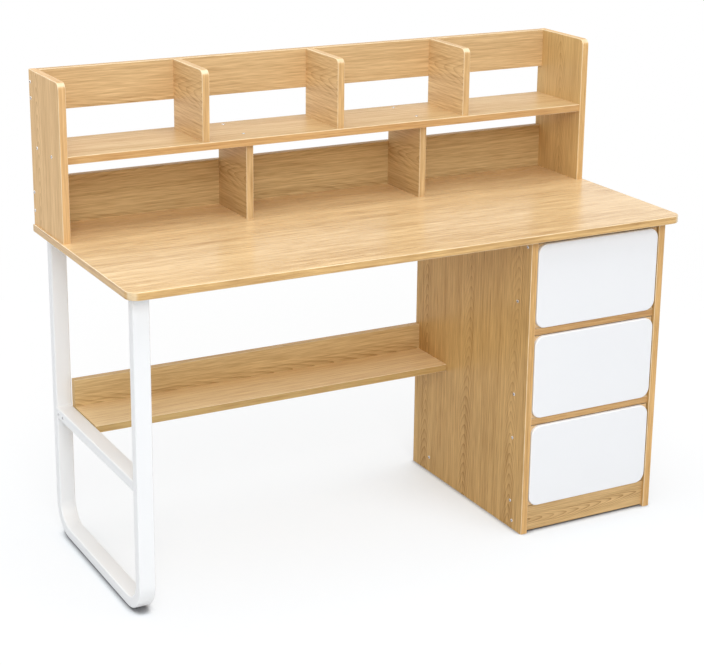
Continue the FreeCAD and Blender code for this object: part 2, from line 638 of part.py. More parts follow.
def make_member(node, low, back, lips, height, cages=False):
    """The two equal members of a pair of slides, the right one a mirror image of the left."""
    at = (BAY_LEFT, f"({BOX_START} + Sizes.slide_setback)", f"({low} + Sizes.slide_rise)")
    left = new_body(node + "_left", *at)
    section = sketch_on(left, "Section", "XZ_Plane")
    draw_channel(section, back, lips, height)
    pad(left, section, SLIDE_LENGTH, "Member", reverse=True)
    if cages:
        add_cages(left)
    right = document.addObject("Part::Mirroring", node + "_right")
    right.Source = left
    right.Normal = FreeCAD.Vector(1, 0, 0)
    right.setExpression("Base.x", PEDESTAL_MIDDLE)
    group(node, [left, right])


def make_slides(name, low):
    make_member(f"{name}_slide_outer", low, "0", "Sizes.outer_flange", "Sizes.outer_height")
    make_member(f"{name}_slide_middle", low, "Sizes.mid_start", "Sizes.mid_end", "Sizes.mid_height", True)
    make_member(f"{name}_slide_inner", low, "Sizes.slide_space", "Sizes.inner_start", "Sizes.inner_height")


# The sled leg: one length of rectangular tube, bent twice, with a crossbar, plates and glides.
def add_bend(sketch, x, y, radius, quarter):
    """A quarter circle that ends on the given multiple of a right angle."""
    circle = Part.Circle(FreeCAD.Vector(x, y, 0), FreeCAD.Vector(0, 0, 1), radius)
    sketch.addGeometry(Part.ArcOfCircle(circle, (quarter - 1) * math.pi / 2, quarter * math.pi / 2))


def add_line(sketch, x0, y0, x1, y1):
    sketch.addGeometry(Part.LineSegment(FreeCAD.Vector(x0, y0, 0), FreeCAD.Vector(x1, y1, 0)))


def draw_bend_line(sketch, top):
    """Down the front post, along the floor and up the rear post, through the middle of the tube."""
    half = "(Sizes.tube_height / 2)"
    turn = "(Sizes.bend_radius - Sizes.tube_height / 2)"
    rear = f"({LEG_DEPTH} - {half})"
    h, r, back, high = value(half), value(turn), value(rear), value(top)
    add_line(sketch, h, high, h, h + r)
    add_bend(sketch, h + r, h + r, r, 3)
    add_line(sketch, h + r, h, back - r, h)
    add_bend(sketch, back - r, h + r, r, 4)
    add_line(sketch, back, h + r, back, high)
    for number in range(4):
        sketch.addConstraint(Sketcher.Constraint("Tangent", number, 2, number + 1, 1))
    for number, kind in ((0, "Vertical"), (2, "Horizontal"), (4, "Vertical")):
        sketch.addConstraint(Sketcher.Constraint(kind, number))
    sketch.addConstraint(Sketcher.Constraint("Equal", 1, 3))
    measure(sketch, "Radius", (1,), turn, "Turn")
    measure(sketch, "DistanceX", (-1, 1, 0, 1), half, "PostFront")
    measure(sketch, "DistanceY", (-1, 1, 0, 1), top, "PostTop")
    measure(sketch, "DistanceY", (-1, 1, 2, 1), half, "Runner")
    measure(sketch, "DistanceX", (-1, 1, 4, 2), rear, "PostRear")
    measure(sketch, "DistanceY", (-1, 1, 4, 2), top, "RearTop")


def draw_tube(sketch):
    """The tube's section: a rectangle with cut corners, and a smaller rectangle inside it."""
    wall = "Sizes.tube_wall"
    cut = "Sizes.tube_corner"
    wide = "Sizes.tube_width"
    tall = "Sizes.tube_height"
    draw_polygon(sketch, "Outside", [
        (cut, "0"), (f"({wide} - {cut})", "0"), (wide, cut), (wide, f"({tall} - {cut})"),
        (f"({wide} - {cut})", tall), (cut, tall), ("0", f"({tall} - {cut})"), ("0", cut),
    ])
    draw_rectangle(sketch, "Inside", f"(Sizes.tube_width - 2 * {wall})",
                   f"(Sizes.tube_height - 2 * {wall})", wall, wall)


def make_sled():
    top = f"({PLATE_UNDER} - Sizes.glide_height)"
    body = keep(new_body("leg_sled", LEG_LEFT, LEG_FRONT, "Sizes.glide_height"))
    path = sketch_on(body, "BendLine", "YZ_Plane", "(Sizes.tube_width / 2)")
    draw_bend_line(path, top)
    section = sketch_on(body, "TubeSection", "XY_Plane", top)
    draw_tube(section)
    document.recompute()
    sweep = body.newObject("PartDesign::AdditivePipe", "BentTube")
    sweep.Profile = section
    sweep.Spine = (path, [f"Edge{number}" for number in range(1, 6)])
    document.recompute()


def make_crossbar():
    body = keep(new_body("leg_crossbar", LEG_LEFT, f"({LEG_FRONT} + Sizes.tube_height)", CROSSBAR_UNDER))
    section = sketch_on(body, "TubeSection", "XZ_Plane")
    draw_tube(section)
    pad(body, section, f"({LEG_DEPTH} - 2 * Sizes.tube_height)", "Tube", reverse=True)


def post_middles():
    """The middles of the two posts, front to back."""
    return (f"({LEG_FRONT} + Sizes.tube_height / 2)", f"({LEG_BACK} - Sizes.tube_height / 2)")


def make_plates():
    """A plate with rounded corners on the end of each post."""
    plates = []
    for name, middle in zip(("front", "rear"), post_middles()):
        body = new_body(f"leg_plate_{name}", LEG_LEFT, f"({middle} - Sizes.plate_depth / 2)", PLATE_UNDER)
        outline = sketch_on(body, "Outline", "XY_Plane")
        draw_rounded(outline, "Plate", "Sizes.plate_width", "Sizes.plate_depth", "Sizes.plate_corner")
        pad(body, outline, "Sizes.plate_thickness", "Plate")
        plates.append(body)
    group("leg_mounting_plates", plates)


def make_glides():
    """Two thin pads under the runner."""
    starts = (f"({LEG_FRONT} + Sizes.glide_end)", f"({LEG_BACK} - Sizes.glide_end - Sizes.glide_length)")
    glides = []
    for name, start in zip(("front", "rear"), starts):
        glide = document.addObject("Part::Box", f"leg_glide_{name}")
        glide.setExpression("Length", "Sizes.tube_width - 2 * Sizes.glide_side")
        glide.setExpression("Width", "Sizes.glide_length")
        glide.setExpression("Height", "Sizes.glide_height")
        place(glide, f"({LEG_LEFT} + Sizes.glide_side)", start, "0")
        glides.append(glide)
    group("leg_glides", glides)


def make_low_shelf():
    start = f"({LOW_BACK_FRONT} - Sizes.low_shelf_depth)"
    at = (LEG_RIGHT, start, LOW_SHELF_UNDER)
    shelf = level_board("lower_shelf", LOW_SHELF_LENGTH, "Sizes.low_shelf_depth", at)
    thick = value("Sizes.board")
    soften(shelf, "FrontEdges", lambda p: near(p.y, 0) and (near(p.z, 0) or near(p.z, thick)))


def make_low_back():
    at = (LEG_RIGHT, LOW_BACK_FRONT, LOW_SHELF_UNDER)
    back = facing_board("lower_back_board", LOW_SHELF_LENGTH, "Sizes.low_back_height", at)
    thick = value("Sizes.board")
    height = value("Sizes.low_back_height")
    soften(back, "TopEdges", lambda p: near(p.z, height) and (near(p.y, 0) or near(p.y, thick)))


def make_leg():
    make_sled()
    make_crossbar()
    make_plates()
    make_glides()
    make_low_shelf()
    make_low_back()


# The screw heads.
HUTCH_SCREWS = [
    ("Sizes.board / 2", "(Sizes.hutch_height - Sizes.rail_screw_upper)"),
    ("Sizes.board / 2", "(Sizes.hutch_height - Sizes.rail_screw_lower)"),
    ("Sizes.shelf_screw_rear", "(Sizes.shelf_rise - Sizes.board / 2)"),
    ("Sizes.shelf_screw_front", "(Sizes.shelf_rise - Sizes.board / 2)"),
    ("Sizes.board / 2", "Sizes.back_screw_lower"),
    ("Sizes.board / 2", "Sizes.back_screw_upper"),
]
PANEL_SCREWS = [
    ("Sizes.panel_screw_edge", f"({UNDERSIDE} - Sizes.panel_screw_drop)"),
    ("Sizes.panel_screw_in", f"({front_start(2)} + Sizes.slide_screw_top)"),
    ("Sizes.panel_screw_in", f"({front_start(1)} + Sizes.slide_screw_middle)"),
    ("Sizes.panel_screw_in", f"({front_start(0)} + Sizes.slide_screw_bottom)"),
    ("Sizes.panel_screw_in", f"({FLOOR_TOP} - Sizes.board / 2)"),
    ("Sizes.foot_screw_in", "Sizes.foot_screw"),
    (f"({FOOT_FRONT} + Sizes.board / 2)", "Sizes.foot_screw_rear"),
]
LEFTWARD = FreeCAD.Vector(-1, 0, 0)
RIGHTWARD = FreeCAD.Vector(1, 0, 0)
BACKWARD = FreeCAD.Vector(0, 1, 0)
UPWARD = FreeCAD.Vector(0, 0, 1)
DOWNWARD = FreeCAD.Vector(0, 0, -1)


def make_side_screws(node, left, right, places):
    """The same screws on two boards that face away from each other."""
    heads = []
    for number, (y, z) in enumerate(places):
        heads.append(screw_head(f"{node}_left_{number}", LEFTWARD, (left, y, z)))
        heads.append(screw_head(f"{node}_right_{number}", RIGHTWARD, (right, y, z)))
    group(node, heads)


def make_divider_screws():
    """Down through the shelf into the lower dividers."""
    shelf_top = f"({SURFACE} + Sizes.shelf_rise)"
    heads = []
    for side in ("-", ""):
        for inset in ("Sizes.divider_screw_rear", "Sizes.divider_screw_front"):
            at = (f"({side}Sizes.lower_spacing / 2)", f"({BACK} - {inset})", shelf_top)
            heads.append(screw_head(f"divider_screw_{len(heads)}", UPWARD, at))
    group("divider_screws", heads)


def make_leg_screws():
    """Two through the crossbar into the low shelf and its back board, and one in the rear post."""
    rear = f"({LOW_BACK_FRONT} + Sizes.board / 2)"
    front = f"({rear} - Sizes.crossbar_screw_gap)"
    post_middle = f"({LEG_LEFT} + Sizes.tube_width / 2)"
    heads = [
        screw_head("crossbar_screw_rear", LEFTWARD, (LEG_LEFT, rear, CROSSBAR_MIDDLE)),
        screw_head("crossbar_screw_front", LEFTWARD, (LEG_LEFT, front, CROSSBAR_MIDDLE)),
        screw_head("post_screw", BACKWARD, (post_middle, LEG_BACK, CROSSBAR_MIDDLE)),
    ]
    group("leg_screws", heads)


def make_plate_screws():
    """Three up through each plate of the leg."""
    outer = f"({LEG_LEFT} + Sizes.plate_width - Sizes.plate_screw_edge)"
    inner = f"({LEG_RIGHT} + Sizes.plate_screw_edge)"
    heads = []
    for middle in post_middles():
        reach = "(Sizes.plate_depth / 2 - Sizes.plate_screw_edge)"
        for x, y in ((outer, f"({middle} - {reach})"), (outer, f"({middle} + {reach})"), (inner, middle)):
            heads.append(screw_head(f"plate_screw_{len(heads)}", DOWNWARD, (x, y, PLATE_UNDER)))
    return heads


def make_stretcher_screws():
    """Two up through each stretcher of the pedestal."""
    left = f"({BAY_LEFT} + Sizes.stretcher_screw_in)"
    right = f"({BAY_LEFT} + {BAY_WIDTH} - Sizes.stretcher_screw_in)"
    front = f"({INSIDE_FRONT} + Sizes.rail_depth / 2)"
    rear = f"({BACK_PANEL_FRONT} - Sizes.rail_depth / 2)"
    low = f"({UNDERSIDE} - Sizes.board)"
    heads = []
    for x, y in ((left, front), (right, front), (left, rear), (right, rear)):
        heads.append(screw_head(f"stretcher_screw_{len(heads)}", DOWNWARD, (x, y, low)))
    return heads


def make_screws():
    on_hutch = [(f"({BACK} - {y})", f"({SURFACE} + {z})") for y, z in HUTCH_SCREWS]
    make_side_screws("hutch_screws", HUTCH_LEFT, HUTCH_RIGHT, on_hutch)
    on_pedestal = [(f"({PEDESTAL_FRONT} + {y})", z) for y, z in PANEL_SCREWS]
    make_side_screws("pedestal_screws", PEDESTAL_LEFT, PEDESTAL_RIGHT, on_pedestal)
    make_divider_screws()
    make_leg_screws()
    group("under_top_screws", make_plate_screws() + make_stretcher_screws())


def check(piece):
    """Stops the build if a sub-part is empty or broken."""
    shape = piece.Shape
    if shape.isNull() or not shape.isValid() or not shape.Solids:
        raise RuntimeError(f"{piece.Label} has no valid solid")


make_top()
make_hutch()
make_pedestal()
for order, drawer in enumerate(DRAWERS):
    make_drawer(f"drawer_{drawer}", front_start(order))
    make_slides(drawer, front_start(order))
make_leg()
make_screws()
document.recompute()

for item in document.Objects:
    if any(word in item.State for word in ("Invalid", "Error")):
        raise RuntimeError(f"{item.Name} did not recompute")
os.makedirs("parts", exist_ok=True)
for piece in subparts:
    check(piece)
    piece.Shape.exportStep(f"parts/{piece.Label}.step")
print(len(subparts), "sub-parts written")
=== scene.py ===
# %% [markdown]
# # A student desk with a hutch
#
# The desk is already built as solids: boards, a bent steel leg, drawers on slides. This lesson gives it
# the finishes that such a desk has, and models the small pieces that show how it is put together.
# Everything is in metres. The desk's front faces -Y, its right end +X, and Z is up.

# %% Load the solids
import math
import bmesh
import bpy
from mathutils import Matrix, Vector


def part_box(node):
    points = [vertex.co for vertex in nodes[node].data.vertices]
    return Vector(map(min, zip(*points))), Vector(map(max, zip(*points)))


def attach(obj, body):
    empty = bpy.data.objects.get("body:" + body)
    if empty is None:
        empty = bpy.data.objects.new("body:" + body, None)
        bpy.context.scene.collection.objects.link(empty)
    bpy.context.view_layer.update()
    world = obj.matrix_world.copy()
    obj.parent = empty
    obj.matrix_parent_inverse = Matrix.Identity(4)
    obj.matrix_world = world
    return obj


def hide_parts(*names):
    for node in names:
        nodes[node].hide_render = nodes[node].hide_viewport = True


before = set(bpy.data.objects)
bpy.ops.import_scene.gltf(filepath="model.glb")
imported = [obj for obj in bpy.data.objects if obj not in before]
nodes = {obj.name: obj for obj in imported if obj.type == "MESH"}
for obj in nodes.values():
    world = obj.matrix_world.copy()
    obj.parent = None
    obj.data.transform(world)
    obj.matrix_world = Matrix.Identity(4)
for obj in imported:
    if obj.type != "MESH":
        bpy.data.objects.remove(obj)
for name in ("Cube", "Light", "Camera"):
    if name in bpy.data.objects and name not in nodes:
        bpy.data.objects.remove(bpy.data.objects[name])
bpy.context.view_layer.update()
MM = 0.001

# %% [markdown]
# ## The camera
#
# Furniture is often pictured with a long lens from a little above the top, so that the boards stay
# straight and the writing surface shows. The camera looks down less than it seems to: the frame is
# shifted down behind the lens, as with a view camera, so the uprights lean in only slightly towards the
# floor. A plain tilt, with no shift, would make them lean more.

# %% Place the camera
CAMERA_PLACE = (-1.92814, -3.51402, 1.83055)
CAMERA_YAW = 0.49551
CAMERA_PITCH = 0.28729
CAMERA_ROLL = 0.01058
FOCAL_PIXELS = 1778.3
IMAGE_WIDTH = 704
SENSOR_WIDTH = 36
FRAME_SHIFT = -0.10
NEAREST, FARTHEST = 0.05, 60


def looking_matrix(yaw, pitch, roll):
    """The camera's turn: yaw to the right of +Y, pitch down, roll raising its right side."""
    forward = Vector((math.sin(yaw) * math.cos(pitch), math.cos(yaw) * math.cos(pitch), -math.sin(pitch)))
    level = Vector((math.cos(yaw), -math.sin(yaw), 0.0))
    upright = level.cross(forward)
    right = math.cos(roll) * level + math.sin(roll) * upright
    up = math.cos(roll) * upright - math.sin(roll) * level
    return Matrix((right, up, -forward)).transposed()


lens = bpy.data.cameras.new("long_lens")
camera = bpy.data.objects.new("camera", lens)
bpy.context.scene.collection.objects.link(camera)
bpy.context.scene.camera = camera
camera.matrix_world = Matrix.LocRotScale(
    Vector(CAMERA_PLACE), looking_matrix(CAMERA_YAW, CAMERA_PITCH, CAMERA_ROLL).to_quaternion(), None)
lens.sensor_width = SENSOR_WIDTH
lens.lens = FOCAL_PIXELS / IMAGE_WIDTH * SENSOR_WIDTH
lens.shift_y = FRAME_SHIFT
lens.clip_start, lens.clip_end = NEAREST, FARTHEST
print("lens", round(lens.lens, 1), "mm")

# %% [markdown]
# ## Small tools for building materials
#
# A procedural material is a chain of sums on the coordinates of the surface. Written out node by node
# it gets long, so two helpers stand for the two kinds of sum: one on plain numbers, one on vectors.
# Each makes a node, plugs in what it is given, and hands back its output for the next sum.

# %% Helpers for sums


def plug(tree, socket, value):
    """Feeds a socket from another node's output, or sets it to a plain value."""
    if isinstance(value, bpy.types.NodeSocket):
        tree.links.new(value, socket)
    else:
        socket.default_value = value


def calc(tree, operation, *terms, clamp=False):
    """One sum on numbers."""
    node = tree.nodes.new("ShaderNodeMath")
    node.operation = operation
    node.use_clamp = clamp
    for socket, term in zip(node.inputs, terms):
        plug(tree, socket, term)
    return node.outputs[0]


def vector_calc(tree, operation, *terms):
    """One sum on vectors. A dot product gives a number."""
    node = tree.nodes.new("ShaderNodeVectorMath")
    node.operation = operation
    for socket, term in zip(node.inputs, terms):
        plug(tree, socket, term)
    return node.outputs["Value" if operation in ("DOT_PRODUCT", "LENGTH") else "Vector"]


def combine(tree, x, y, z):
    node = tree.nodes.new("ShaderNodeCombineXYZ")
    for socket, term in zip(node.inputs, (x, y, z)):
        plug(tree, socket, term)
    return node.outputs[0]


print("helpers for sums ready")

# %% [markdown]
# ## Fades, clouds and mixes
#
# A real surface fades from one tone to another, and it is never quite even. Map Range does the fades
# here. A Color Ramp could do them too, but its stops can't be fed by other nodes. A Noise texture gives
# the clouds, and a Mix node goes from one colour or vector to another.

# %% Helpers for fades, clouds and mixes


def ramp(tree, value, start, end, low=0.0, high=1.0):
    """Fades smoothly from low to high while the value goes from start to end."""
    node = tree.nodes.new("ShaderNodeMapRange")
    node.interpolation_type = "SMOOTHSTEP"
    for socket, term in zip(node.inputs, (value, start, end, low, high)):
        plug(tree, socket, term)
    return node.outputs[0]


def noise(tree, vector, scale=1.0, detail=2.0):
    """Soft random clouds between 0 and 1."""
    node = tree.nodes.new("ShaderNodeTexNoise")
    plug(tree, node.inputs["Vector"], vector)
    plug(tree, node.inputs["Scale"], scale)
    plug(tree, node.inputs["Detail"], detail)
    return node.outputs["Fac"]


def blend(tree, factor, first, second, way="MIX"):
    """Mixes two colours, which go in at the Mix node's sockets 6 and 7 and come out at 2."""
    node = tree.nodes.new("ShaderNodeMix")
    node.data_type = "RGBA"
    node.blend_type = way
    plug(tree, node.inputs[0], factor)
    plug(tree, node.inputs[6], first)
    plug(tree, node.inputs[7], second)
    return node.outputs[2]


def choose(tree, factor, first, second):
    """Mixes two vectors, which go in at the Mix node's sockets 4 and 5 and come out at 1."""
    node = tree.nodes.new("ShaderNodeMix")
    node.data_type = "VECTOR"
    plug(tree, node.inputs[0], factor)
    plug(tree, node.inputs[4], first)
    plug(tree, node.inputs[5], second)
    return node.outputs[1]


print("helpers for fades, clouds and mixes ready")

# %% [markdown]
# ## Small tools for groups and shaders
#
# What several finishes share, such as the grain, is a node group: a tree of its own with named sockets,
# built once and placed in each material with other values. The shader itself stays in the material,
# so a group only hands it colours, masks and heights.

# %% Helpers for groups and materials
FLOAT = "NodeSocketFloat"
VECTOR = "NodeSocketVector"
COLOUR = "NodeSocketColor"


def new_group(name, inputs, outputs):
    """An empty node group with named sockets. Returns its tree, its inputs and its output node."""
    tree = bpy.data.node_groups.new(name, "ShaderNodeTree")
    for label, kind, value in inputs:
        socket = tree.interface.new_socket(label, in_out="INPUT", socket_type=kind)
        socket.default_value = value
    for label, kind in outputs:
        tree.interface.new_socket(label, in_out="OUTPUT", socket_type=kind)
    return tree, tree.nodes.new("NodeGroupInput").outputs, tree.nodes.new("NodeGroupOutput").inputs


def use_group(tree, group, **values):
    """Puts a group into a material. A socket's spaces are written as underscores."""
    node = tree.nodes.new("ShaderNodeGroup")
    node.node_tree = group
    for label, value in values.items():
        plug(tree, node.inputs[label.replace("_", " ").capitalize()], value)
    return node.outputs


def new_material(name):
    """An empty material: its tree, and the shader that everything feeds."""
    material = bpy.data.materials.new(name)
    material.use_nodes = True
    tree = material.node_tree
    tree.nodes.clear()
    shader = tree.nodes.new("ShaderNodeBsdfPrincipled")
    tree.links.new(shader.outputs[0], tree.nodes.new("ShaderNodeOutputMaterial").inputs[0])
    return material, tree, shader


def bump(tree, shader, height, strength, distance):
    """Lets a height between 0 and 1 tilt the surface, as relief of that depth would."""
    node = tree.nodes.new("ShaderNodeBump")
    node.inputs["Strength"].default_value = strength
    node.inputs["Distance"].default_value = distance
    tree.links.new(height, node.inputs["Height"])
    tree.links.new(node.outputs[0], shader.inputs["Normal"])


print("helpers for materials ready")

# %% [markdown]
# ## Which way the grain runs
#
# The boards are chipboard under a printed oak foil. The foil on a face and the band on an edge are cut
# separately, and on both the grain runs along the board. One picture wrapped round the whole board
# would smear over its edges, so this group asks which way the surface faces, and measures the place
# along and across the grain for that face. The rounded edges share the band's grain.

# %% A group that measures along and across the grain
FACING_SHARE = 0.72  # a little over that of 45 degrees, so that no spot faces two ways


def facing(tree, normal, axis):
    """1 where the surface faces along an axis, else 0."""
    share = calc(tree, "ABSOLUTE", vector_calc(tree, "DOT_PRODUCT", normal, axis))
    return calc(tree, "GREATER_THAN", share, FACING_SHARE)


def make_grain_lines():
    tree, given, result = new_group(
        "grain_lines",
        [("Grain on ends", VECTOR, (0, 0, 1)), ("Grain on fronts", VECTOR, (1, 0, 0)),
         ("Grain on tops", VECTOR, (1, 0, 0)), ("Shift", VECTOR, (0, 0, 0)),
         ("Broad side", VECTOR, (0, 0, 1))],
        [("Along", FLOAT), ("Across", FLOAT), ("Broad", FLOAT)])
    where = tree.nodes.new("ShaderNodeTexCoord").outputs
    on_front = facing(tree, where["Normal"], (0, 1, 0))
    on_top = facing(tree, where["Normal"], (0, 0, 1))
    grain = choose(tree, on_front, given["Grain on ends"], given["Grain on fronts"])
    grain = choose(tree, on_top, grain, given["Grain on tops"])
    face = choose(tree, on_front, (1, 0, 0), (0, 1, 0))
    face = choose(tree, on_top, face, (0, 0, 1))
    side = vector_calc(tree, "CROSS_PRODUCT", face, grain)
    place = vector_calc(tree, "ADD", where["Object"], given["Shift"])
    tree.links.new(vector_calc(tree, "DOT_PRODUCT", place, grain), result["Along"])
    tree.links.new(vector_calc(tree, "DOT_PRODUCT", place, side), result["Across"])
    tree.links.new(facing(tree, where["Normal"], given["Broad side"]), result["Broad"])
    return tree


grain_lines = make_grain_lines()
print("grain_lines has", len(grain_lines.nodes), "nodes")

# %% [markdown]
# ## Oak
#
# Sawn oak shows two things. Everywhere there are fine streaks, the pores, many times longer than wide.
# Where the saw met the rings flat, they show as nested arches, one column of them up the middle of each
# plank. An image could carry both, but it would repeat and blur close up. Here each comes from a sum:
# the arches are lines of equal height on a ridge that slopes along the board, and the streaks are
# clouds pulled out along the grain.

# %% Clouds and rings on the foil
# A cloud is given by its length along the grain, its width across it and its layers of detail.
RAGGED = (0.12, 0.022, 2), 0.9  # breaks up the rings, in rings
TIP_ROUNDNESS = 0.00006  # in square metres
RING_SHARPNESS = 3.2


def cloud(tree, given, size):
    length, width, detail = size
    along = calc(tree, "DIVIDE", given["Along"], length)
    across = calc(tree, "DIVIDE", given["Across"], width)
    return noise(tree, combine(tree, along, across, given["Seed"]), detail=detail)


def swing(tree, given, size, reach):
    """A cloud that swings about 0, by half its reach."""
    return calc(tree, "MULTIPLY", calc(tree, "SUBTRACT", cloud(tree, given, size), 0.5), reach)


def rings(tree, given, off_middle):
    """Nested arches about a plank's middle line. Each darkens slowly and ends sharply."""
    tip = calc(tree, "SQRT", calc(tree, "ADD", calc(tree, "POWER", off_middle, 2.0), TIP_ROUNDNESS))
    ridge = calc(tree, "DIVIDE", tip, given["Ring width"])
    slope = calc(tree, "DIVIDE", given["Along"], given["Arch length"])
    height = calc(tree, "ADD", calc(tree, "ADD", ridge, slope), swing(tree, given, *RAGGED))
    return calc(tree, "POWER", calc(tree, "FRACT", height), RING_SHARPNESS)


print("clouds and rings ready")

# %% [markdown]
# ## The print
#
# A maker of foil lays planks side by side, and lets the arches come and go, so that no column of them
# runs the whole length. Here the planks' middle lines wander, the arches fade with the distance from
# them, and patches of cloud thin them out. The streaks of three sizes go over all of it.

# %% A group for the oak print
WANDER = (0.55, 0.16, 1), 0.06  # bends the middle lines, in metres
STREAKS = ((0.9, 0.03, 2), 1.0), ((0.24, 0.0055, 3), 2.0), ((0.06, 0.0018, 2), 2.2)
PATCHES = (0.5, 0.12, 1)
PATCH_FADE = (0.35, 0.62, 0.55, 1.0)
FULL_ARCHES = 0.3  # the share of the spread where the arches are at their strongest
FAR_ARCHES = 0.12
GROUND_TONE = 0.3


def make_oak_print():
    tree, given, result = new_group(
        "oak_print",
        [("Along", FLOAT, 0), ("Across", FLOAT, 0), ("Seed", FLOAT, 0), ("Plank", FLOAT, 0.19),
         ("Arch length", FLOAT, 0.04), ("Ring width", FLOAT, 0.0036), ("Arches", FLOAT, 0.5),
         ("Spread", FLOAT, 0.3), ("Streaks", FLOAT, 0.5),
         ("Pale wood", COLOUR, (1, 1, 1, 1)), ("Dark wood", COLOUR, (0, 0, 0, 1))],
        [("Colour", COLOUR), ("Pores", FLOAT)])
    bent = calc(tree, "ADD", given["Across"], swing(tree, given, *WANDER))
    half = calc(tree, "MULTIPLY", given["Plank"], 0.5)
    off_middle = calc(tree, "SUBTRACT", half, calc(tree, "PINGPONG", bent, half))
    share = calc(tree, "DIVIDE", off_middle, given["Plank"])
    full = calc(tree, "MULTIPLY", given["Spread"], FULL_ARCHES)
    nearness = ramp(tree, share, full, given["Spread"], 1.0, FAR_ARCHES)
    patches = ramp(tree, cloud(tree, given, PATCHES), *PATCH_FADE)
    arches = calc(tree, "MULTIPLY", rings(tree, given, off_middle), nearness)
    arches = calc(tree, "MULTIPLY", calc(tree, "MULTIPLY", arches, patches), given["Arches"])
    streaks = 0.0
    for size, reach in STREAKS:
        streaks = calc(tree, "ADD", streaks, swing(tree, given, size, reach))
    streaks = calc(tree, "MULTIPLY", streaks, given["Streaks"])
    darkness = calc(tree, "ADD", calc(tree, "ADD", arches, streaks), GROUND_TONE, clamp=True)
    tree.links.new(blend(tree, darkness, given["Pale wood"], given["Dark wood"]), result["Colour"])
    tree.links.new(darkness, result["Pores"])
    return tree


oak_print = make_oak_print()
print("oak_print has", len(oak_print.nodes), "nodes")

# %% [markdown]
# ## Rounded edges
#
# The rounded edges are painted paler than the faces, a painted highlight where they would catch the light,
# and they are made a little glossier. A flat face looks straight along one axis and a rounded one looks
# between two, so the largest share of the surface's direction tells them apart, with no need to mark the
# edges by hand.

# %% A group that paints a highlight on the rounded edges
EDGE_FADE = (0.985, 0.86)  # the largest share, where the painted highlight starts and where it is full
SHEEN_BREAKUP_SCALE = 35.0
CLOUD_MIDDLE = (0.3, 0.7)  # the part of a cloud's range that it mostly keeps to
SHEEN_BREAKUP = (0.55, 1.0)


def make_painted_edge_sheen():
    tree, given, result = new_group("edge_polish", [("Wear", FLOAT, 0.5)], [("Polish", FLOAT)])
    where = tree.nodes.new("ShaderNodeTexCoord").outputs
    parts = tree.nodes.new("ShaderNodeSeparateXYZ")
    tree.links.new(vector_calc(tree, "ABSOLUTE", where["Normal"]), parts.inputs[0])
    across, deep, up = parts.outputs
    largest = calc(tree, "MAXIMUM", across, calc(tree, "MAXIMUM", deep, up))
    edge = ramp(tree, largest, *EDGE_FADE)
    uneven = ramp(tree, noise(tree, where["Object"], scale=SHEEN_BREAKUP_SCALE), *CLOUD_MIDDLE, *SHEEN_BREAKUP)
    sheen_share = calc(tree, "MULTIPLY", calc(tree, "MULTIPLY", edge, uneven), given["Wear"])
    tree.links.new(sheen_share, result["Polish"])
    return tree


edge_polish = make_painted_edge_sheen()
print("edge_polish has", len(edge_polish.nodes), "nodes")

# %% [markdown]
# ## The oak boards
#
# All boards come from the same foil, but no two cuts of it are alike. So one function makes the material, and
# each kind of board gives it the grain's directions, its own stretch of the foil and its own two tones. These
# tones are painted light and shade as well: some boards are made darker, as if they stood in shade, and some
# paler, as if more light fell on them. The band on the edges is cut from another roll, so a tint sets it
# apart from the faces, and the tint also paints the edges darker or paler, as painted shade or light.

# %% A function that makes an oak material
PALE_OAK = (0.90, 0.66, 0.375, 1)
DARK_OAK = (0.44, 0.245, 0.095, 1)
# Painted highlight: rounded oak edges go towards this colour, as strongly as the strength set below.
OAK_HIGHLIGHT = (0.97, 0.83, 0.58, 1)
# The edge band's own tint, which also darkens the edges as painted shade.
EDGE_BAND_AND_LIGHT = (0.92, 0.85, 0.76, 1)
# Raw board on the drawer boxes' unbanded edges, made dark enough to be painted shade as well.
RAW_EDGE_AND_SHADE = (0.36, 0.29, 0.22, 1)
# The strength of the painted highlight on rounded oak edges.
OAK_EDGE_SHEEN = 0.8
PORE_ROUGHNESS = 0.14  # how much rougher the pores are than the wood between them
POLISH_GLOSS = 0.10  # how much smoother the polished edges are
PORE_RELIEF = 0.25, 0.0002  # strength, and depth in metres


def make_oak(name, grain, broad, shift, seed, plank=0.19, arch=0.04, ring=0.0036, arches=0.5, spread=0.3,
             streaks=0.5, pale=PALE_OAK, dark=DARK_OAK, band=EDGE_BAND_AND_LIGHT, rough=0.36, shine=0.2):
    """Oak foil. Grain is its way on ends, fronts and tops, and broad is the axis its face looks along."""
    material, tree, shader = new_material(name)
    lines = use_group(tree, grain_lines, grain_on_ends=grain[0], grain_on_fronts=grain[1],
                      grain_on_tops=grain[2], shift=shift, broad_side=broad)
    figure = use_group(tree, oak_print, along=lines["Along"], across=lines["Across"], seed=seed,
                       plank=plank, arch_length=arch, ring_width=ring, spread=spread, streaks=streaks,
                       arches=calc(tree, "MULTIPLY", lines["Broad"], arches),
                       pale_wood=pale, dark_wood=dark)
    # The rounded edges get a painted highlight, and are made a little less rough.
    edge_sheen = use_group(tree, edge_polish, wear=OAK_EDGE_SHEEN)["Polish"]
    banded = blend(tree, 1.0, figure["Colour"], band, "MULTIPLY")
    colour = blend(tree, lines["Broad"], banded, figure["Colour"])
    colour = blend(tree, edge_sheen, colour, OAK_HIGHLIGHT)
    tree.links.new(colour, shader.inputs["Base Color"])
    satin = ramp(tree, figure["Pores"], 0.0, 1.0, rough, rough + PORE_ROUGHNESS)
    satin = calc(tree, "SUBTRACT", satin, calc(tree, "MULTIPLY", edge_sheen, POLISH_GLOSS))
    tree.links.new(satin, shader.inputs["Roughness"])
    shader.inputs["Specular IOR Level"].default_value = shine
    bump(tree, shader, calc(tree, "SUBTRACT", 1.0, figure["Pores"]), *PORE_RELIEF)
    return material


def dress(material, *names):
    """Gives solids a material in place of the one they came with."""
    for name in names:
        nodes[name].material_slots[0].material = material


